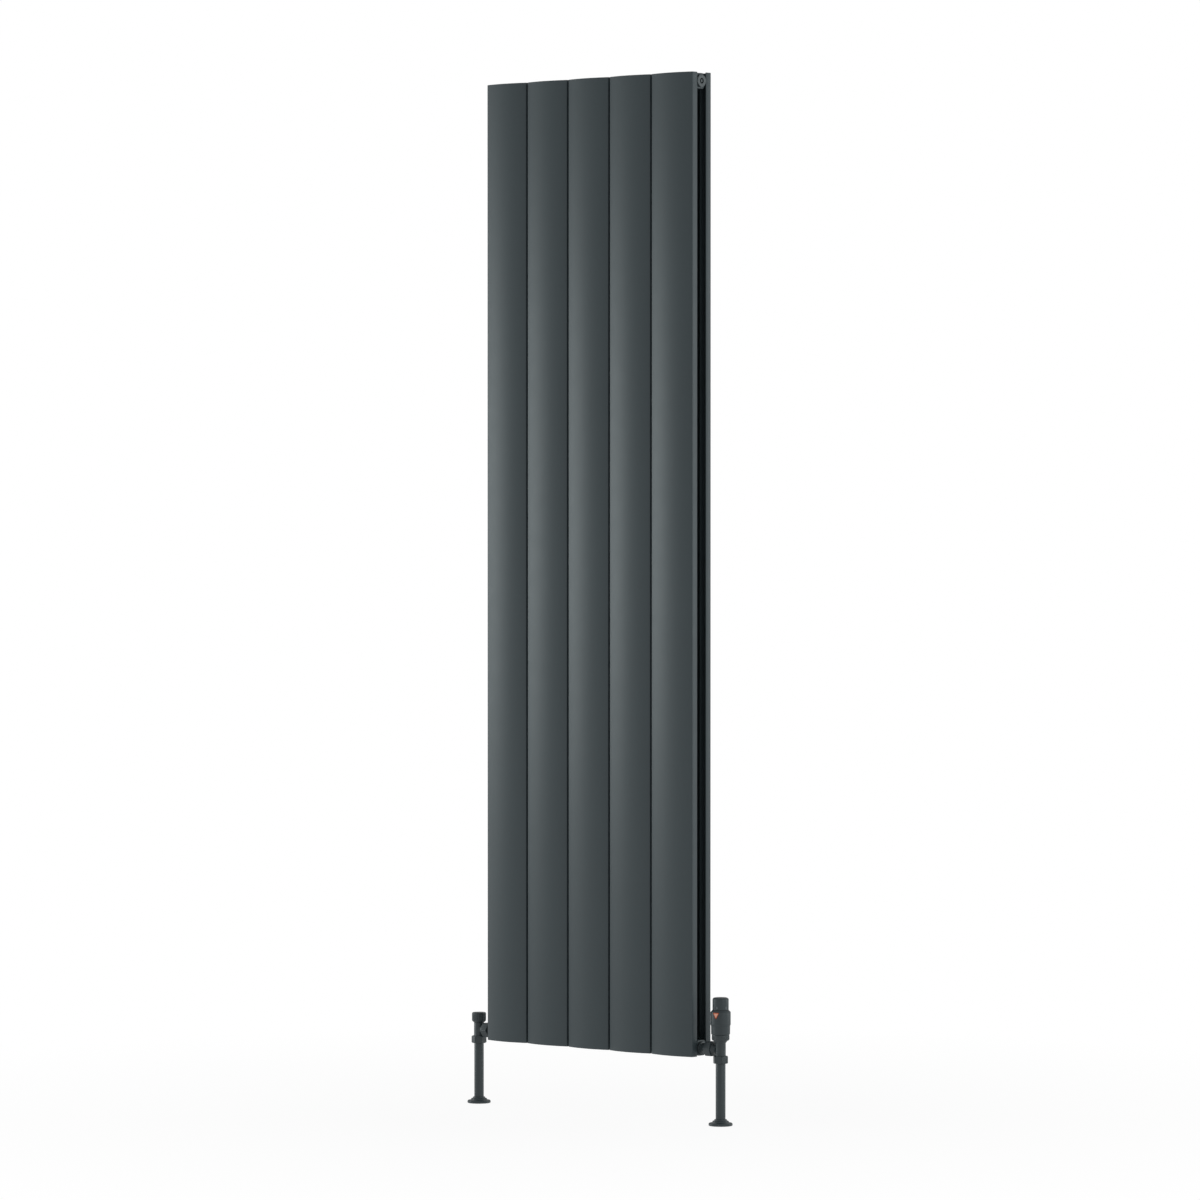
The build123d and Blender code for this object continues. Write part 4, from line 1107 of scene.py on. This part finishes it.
SHOULDER = 68.4
HEAD_TOP = 72.0
KNOB_LOW = 72.3
KNOB_TOP = 94.8
GRIP_RADIUS = 14.8
POINTER_ANGLE = math.radians(13.0)
POINTER_TOP = 68.0
POINTER_HEIGHT = 12.2
POINTER_WIDTH = 13.2
POINTER_CENTRE = 0.36   # how far down the triangle the centre of its rings lies
POINTER_SUNK = 0.5
POINTER_PROUD = 0.16
NUMBER_STEP = math.radians(70.0)
NUMBER_FOOT = 74.6
FONT_SCALE = 1.42       # a font's size over the height of its figures
PRINT_THICKNESS = 0.06


def wrapped(angle, across, height, radius):
    """A point on the head: across is a distance round it from an angle off the front."""
    turn = angle + across / radius
    return Vector((math.sin(turn) * radius, -math.cos(turn) * radius, height)) * MM


class RADIATOR_OT_thermostatic_head(bpy.types.Operator):
    """Makes the thermostatic head, its pointer, its knob and the dial's numbers"""
    bl_idname = "radiator.thermostatic_head"
    bl_label = "Thermostatic Head"

    def execute(self, context):
        f = fittings()
        shell = turned([
            (8.5, 23.6, 0.2), (12.8, 23.6, 0.3), (12.8, 25.3, 0.0), (11.5, 25.3, 0.0),
            (11.5, 27.2, 0.0), (16.4, 27.2, 0.5), (17.2, 28.2, 0.5), (17.5, 43.0, 3.0),
            (HEAD_RADIUS, 45.6, 2.6), (HEAD_RADIUS, SHOULDER, 0.9), (15.4, 71.6, 0.5),
            (14.9, HEAD_TOP, 0.25), (13.28, HEAD_TOP, 0.2), (13.28, 31.0, 0.3), (8.5, 31.0, 0.3)],
            128)
        shell.transform(standing(RIGHT_AXIS))
        piece("trv_head_shell", shell, "head_plastic", ["trv_head_body"])
        knob = turned([
            (0.0, KNOB_TOP - 0.25, 0.0), (8.6, KNOB_TOP - 0.2, 0.4), (9.2, KNOB_TOP, 0.5),
            (11.2, KNOB_TOP, 1.4), (13.6, KNOB_TOP - 1.0, 1.8), (GRIP_RADIUS, KNOB_TOP - 3.2, 2.4),
            (GRIP_RADIUS, KNOB_LOW, 0.35), (13.2, KNOB_LOW, 0.2), (13.2, 52.0, 0.3),
            (11.56, 52.0, 0.3), (11.56, KNOB_TOP - 3.0, 0.5), (0.0, KNOB_TOP - 3.0, 0.0)], 128)
        knob.transform(standing(RIGHT_AXIS))
        piece("trv_knob_moulded", knob, "knob_plastic", ["trv_knob"])
        self.pointer(f)
        self.numbers(f)
        repainted("trv_sensor")
        return {"FINISHED"}

    def pointer(self, f):
        """A downward triangle let into the head: a raised copper rim round a pale middle."""
        half = POINTER_WIDTH / 2
        rim = f.pointer_rim / MM
        triangle = [(-half, POINTER_TOP, 1.3), (half, POINTER_TOP, 1.3),
                    (0.0, POINTER_TOP - POINTER_HEIGHT, 1.3)]
        middle_height = POINTER_TOP - POINTER_HEIGHT * POINTER_CENTRE
        outline = softened(triangle, True, 10)
        outline = self.finely(outline, 0.5)
        bm = bmesh.new()
        inner_share = 1.0 - rim / (POINTER_HEIGHT * POINTER_CENTRE)
        levels = [(1.0, -POINTER_SUNK, 0), (1.0, POINTER_PROUD, 0), (0.975, 0.28, 0),
                  (inner_share + 0.05, 0.28, 0), (inner_share, 0.2, 0), (inner_share - 0.02, 0.06, 1),
                  (inner_share * 0.66, 0.12, 1), (inner_share * 0.33, 0.15, 1)]
        rings = []
        for scale, proud, _ in levels:
            ring = []
            for point in outline:
                across = point.x * scale
                height = middle_height + (point.y - middle_height) * scale
                base = wrapped(POINTER_ANGLE, across, height, HEAD_RADIUS)
                outward = Vector((base.x, base.y, 0.0)).normalized()
                ring.append(bm.verts.new(base + outward * proud * MM))
            rings.append(ring)
        count = len(outline)
        for (low, high), (_, _, face_finish) in zip(zip(rings, rings[1:]), levels[1:]):
            for i in range(count):
                j = (i + 1) % count
                bm.faces.new((low[i], low[j], high[j], high[i])).material_index = face_finish
        heart, root = (bm.verts.new(wrapped(POINTER_ANGLE, 0.0, middle_height, HEAD_RADIUS + proud))
                       for proud in (POINTER_PROUD, -POINTER_SUNK))
        for i in range(count):
            j = (i + 1) % count
            bm.faces.new((rings[-1][i], rings[-1][j], heart)).material_index = 1
            bm.faces.new((rings[0][j], rings[0][i], root))
        bmesh.ops.recalc_face_normals(bm, faces=bm.faces)
        mesh = written(bm)
        mesh.materials.append(finish("pointer_copper"))
        mesh.materials.append(finish("enamel"))
        mesh.transform(standing(RIGHT_AXIS))
        piece("trv_pointer_inlay", mesh, "pointer_copper", ["trv_pointer"])

    def finely(self, outline, step):
        """The same outline with points no further apart than a step."""
        points = []
        for a, b in zip(outline, outline[1:] + outline[:1]):
            count = max(1, round((b - a).length / step))
            points += [a.lerp(b, i / count) for i in range(count)]
        return points

    def numbers(self, f):
        """The settings 1 to 5 printed round the knob's foot, with 3 over the pointer at rest."""
        parts = []
        for number in range(1, 6):
            curve = bpy.data.curves.new("number", "FONT")
            curve.body = str(number)
            curve.size = FONT_SCALE * f.number_height
            curve.align_x = "CENTER"
            curve.extrude = PRINT_THICKNESS * MM
            curve.resolution_u = 6
            holder = bpy.data.objects.new("number", curve)
            bpy.context.scene.collection.objects.link(holder)
            mesh = settled_mesh(holder)
            angle = POINTER_ANGLE + (3 - number) * NUMBER_STEP
            self.wrap(mesh, angle)
            parts.append((mesh, standing(RIGHT_AXIS)))
        numbers = joined(parts)
        numbers.materials.clear()
        numbers.materials.append(finish("print"))
        piece("dial_numbers", numbers, None, [], smooth=30.0, body="temperature_knob")

    def wrap(self, mesh, angle):
        """Bends flat lettering round the knob, a hair proud of it."""
        bm = bmesh.new()
        bm.from_mesh(mesh)
        bmesh.ops.remove_doubles(bm, verts=bm.verts, dist=1e-7)
        bmesh.ops.triangulate(bm, faces=bm.faces)
        bmesh.ops.subdivide_edges(bm, edges=[e for e in bm.edges if e.calc_length() > 0.8 * MM],
                                  cuts=2, use_grid_fill=False)
        for vert in bm.verts:
            x, y, z = vert.co / MM
            at = wrapped(angle, x, NUMBER_FOOT + y, GRIP_RADIUS)
            outward = Vector((at.x, at.y, 0.0)).normalized()
            vert.co = at + outward * (z + 0.02) * MM
        bm.to_mesh(mesh)
        bm.free()


# ---------------------------------------------------------------- sleeves and floor collars

class RADIATOR_OT_pipe_covers(bpy.types.Operator):
    """Turns the sleeves over the pipes and the collars on the floor"""
    bl_idname = "radiator.pipe_covers"
    bl_label = "Pipe Covers"

    def execute(self, context):
        for name, axis in AXES.items():
            node = name + "_pipe_sleeve"
            radius = span(node).x / 2 / MM
            length = span(node).z / MM
            sleeve = turned([(radius - 1.2, 0.0, 0.15), (radius, 0.0, 0.35), (radius, length, 0.35),
                             (radius - 1.2, length, 0.15)])
            floor = Vector((axis.x, axis.y, FLOOR_Z))
            sleeve.transform(standing(floor))
            piece(node + "_drawn", sleeve, "sleeve_paint", [node])
            node = name + "_floor_collar"
            rim = span(node).x / 2 / MM
            top = span(node).z / MM
            collar = turned([(radius + 0.06, 0.0, 0.0), (rim - 0.8, 0.0, 0.3), (rim, 1.0, 0.7),
                             (rim, 3.6, 0.9), (rim - 1.2, 5.2, 1.0), (17.0, 6.0, 1.2),
                             (15.4, 6.7, 0.5), (14.6, 8.7, 0.8), (12.2, 9.3, 0.5), (11.5, 10.2, 0.4),
                             (11.5, top, 0.6), (radius + 0.06, top, 0.2)])
            collar.transform(standing(floor))
            piece(node + "_spun", collar, "sleeve_paint", [node])
        return {"FINISHED"}


# ---------------------------------------------------------------- studio

LIGHT_TINT = (0.90, 0.99, 1.0)
# Each light's name, its setting, its place, what it faces, and its width and height.
LIGHTS = [("key light", "key", (-4.7, -2.5, -0.75), (0.0, -0.06, -0.75), (3.3, 4.6)),
          ("fill light", "fill", (4.9, -0.6, 0.4), (0.0, -0.06, 0.0), (3.0, 3.6)),
          ("back light", "back", (3.9, 4.2, 0.3), (0.0, -0.06, 0.0), (2.4, 3.6))]
FLOOR_RINGS = (0.0, 0.4, 0.8, 1.4, 2.4, 5.0, 12.0, 60.0)
FLOOR_SIDES = 96
FLOOR_GAP = 0.0005
CAMERA_PLACE = (7.2805, -8.0197, 0.1021)
CAMERA_TURN = math.radians(42.43)
CAMERA_DIP = math.radians(0.8986)
CAMERA_LENS = 174.06


class RADIATOR_OT_studio(bpy.types.Operator):
    """Sets the pale floor, the soft lights and the camera"""
    bl_idname = "radiator.studio"
    bl_label = "Studio"

    def execute(self, context):
        s = context.scene.radiator_studio
        context.scene.view_settings.view_transform = "Standard"
        self.surround(s)
        self.floor(s)
        for name, setting, spot, target, size in LIGHTS:
            self.light(name, getattr(s, setting), spot, target, size)
        self.camera()
        return {"FINISHED"}

    def surround(self, s):
        """A white room that the camera sees white and that lights the object gently."""
        world = bpy.data.worlds.new("white room")
        world.use_nodes = True
        world.node_tree.nodes.clear()
        g = Graph(world.node_tree)
        seen = g.node("ShaderNodeLightPath", output="Is Camera Ray")
        room = g.node("ShaderNodeBackground", {},
                      {"Color": (1.0, 1.0, 1.0, 1.0), "Strength": s.surround + seen * (1.0 - s.surround)})
        g.node("ShaderNodeOutputWorld", {}, {"Surface": room})
        bpy.context.scene.world = world

    def floor(self, s):
        """A pale floor that keeps a faint shadow near the object and fades out to the room."""
        bm = bmesh.new()
        rings = []
        for radius in FLOOR_RINGS:
            count = 1 if radius == 0.0 else FLOOR_SIDES
            rings.append([bm.verts.new((radius * math.cos(2 * math.pi * i / count),
                                        radius * math.sin(2 * math.pi * i / count), 0.0))
                          for i in range(count)])
        for inner, outer in zip(rings, rings[1:]):
            for i in range(FLOOR_SIDES):
                j = (i + 1) % FLOOR_SIDES
                near = [inner[0]] if len(inner) == 1 else [inner[j], inner[i]]
                bm.faces.new([outer[i], outer[j]] + near)
        mesh = written(bm)
        mesh.materials.append(self.floor_finish(s))
        obj = bpy.data.objects.new("studio_floor", mesh)
        obj.location.z = FLOOR_Z - FLOOR_GAP
        bpy.context.scene.collection.objects.link(obj)

    def floor_finish(self, s):
        f = Finish("studio floor")
        away = f.node("ShaderNodeVectorMath", {"operation": "LENGTH"}, {0: f.place}, output="Value")
        fade = f.ramp(away / 4.0, [(0.1, 0.93), (0.45, 1.0)])
        grain = f.noise(0.004)
        matt = f.node("ShaderNodeBsdfDiffuse", {},
                      {"Color": f.mix(grain, shaded(s.floor, 0.98), shaded(s.floor, 1.02))})
        seen = f.node("ShaderNodeLightPath", output="Is Camera Ray")
        glow = f.node("ShaderNodeEmission", {},
                      {"Color": (1.0, 1.0, 1.0, 1.0), "Strength": s.bounce + seen * (1.0 - s.bounce)})
        both = f.node("ShaderNodeMixShader", {}, {0: fade, 1: matt, 2: glow})
        f.node("ShaderNodeOutputMaterial", {}, {"Surface": both})
        return f.material

    def light(self, name, power, spot, target, size):
        data = bpy.data.lights.new(name, "AREA")
        data.shape = "RECTANGLE"
        data.size, data.size_y = size
        data.energy = power
        data.color = LIGHT_TINT
        obj = bpy.data.objects.new(name, data)
        obj.location = spot
        obj.rotation_mode = "QUATERNION"
        obj.rotation_quaternion = (Vector(target) - Vector(spot)).to_track_quat("-Z", "Y")
        bpy.context.scene.collection.objects.link(obj)

    def camera(self):
        data = bpy.data.cameras.new("camera")
        data.lens = CAMERA_LENS
        data.sensor_width = 36.0
        data.clip_end = 100.0
        level = math.cos(CAMERA_DIP)
        aim = Vector((-math.sin(CAMERA_TURN) * level, math.cos(CAMERA_TURN) * level,
                      -math.sin(CAMERA_DIP)))
        obj = bpy.data.objects.new("camera", data)
        obj.location = CAMERA_PLACE
        obj.rotation_mode = "QUATERNION"
        obj.rotation_quaternion = aim.to_track_quat("-Z", "Y")
        bpy.context.scene.collection.objects.link(obj)
        bpy.context.scene.camera = obj


# ---------------------------------------------------------------- panel and registration

GROUPS = {"radiator_panels": PanelSizes, "radiator_fittings": FittingSizes,
          "radiator_colours": Colours, "radiator_studio": Studio}
STEPS = [RADIATOR_OT_studio, RADIATOR_OT_panels, RADIATOR_OT_headers, RADIATOR_OT_port_fittings,
         RADIATOR_OT_brackets, RADIATOR_OT_unions, RADIATOR_OT_lockshield,
         RADIATOR_OT_thermostatic_valve, RADIATOR_OT_thermostatic_head, RADIATOR_OT_pipe_covers]


class RADIATOR_PT_sidebar(bpy.types.Panel):
    """The radiator's settings and steps"""
    bl_idname = "RADIATOR_PT_sidebar"
    bl_label = "Radiator"
    bl_space_type = "VIEW_3D"
    bl_region_type = "UI"
    bl_category = "Radiator"

    def draw(self, context):
        for name in GROUPS:
            group = getattr(context.scene, name)
            box = self.layout.box()
            for key in group.__annotations__:
                box.prop(group, key)
        for step in STEPS:
            self.layout.operator(step.bl_idname)


def register():
    for name, group in GROUPS.items():
        bpy.utils.register_class(group)
        setattr(bpy.types.Scene, name, PointerProperty(type=group))
    for step in STEPS + [RADIATOR_PT_sidebar]:
        bpy.utils.register_class(step)


def unregister():
    for step in [RADIATOR_PT_sidebar] + STEPS[::-1]:
        bpy.utils.unregister_class(step)
    for name, group in GROUPS.items():
        delattr(bpy.types.Scene, name)
        bpy.utils.unregister_class(group)


def main():
    register()
    bpy.ops.radiator.studio()
    bpy.ops.radiator.panels()
    bpy.ops.radiator.headers()
    bpy.ops.radiator.port_fittings()
    bpy.ops.radiator.brackets()
    bpy.ops.radiator.unions()
    bpy.ops.radiator.lockshield()
    bpy.ops.radiator.thermostatic_valve()
    bpy.ops.radiator.thermostatic_head()
    bpy.ops.radiator.pipe_covers()


if __name__ == "__main__":
    main()
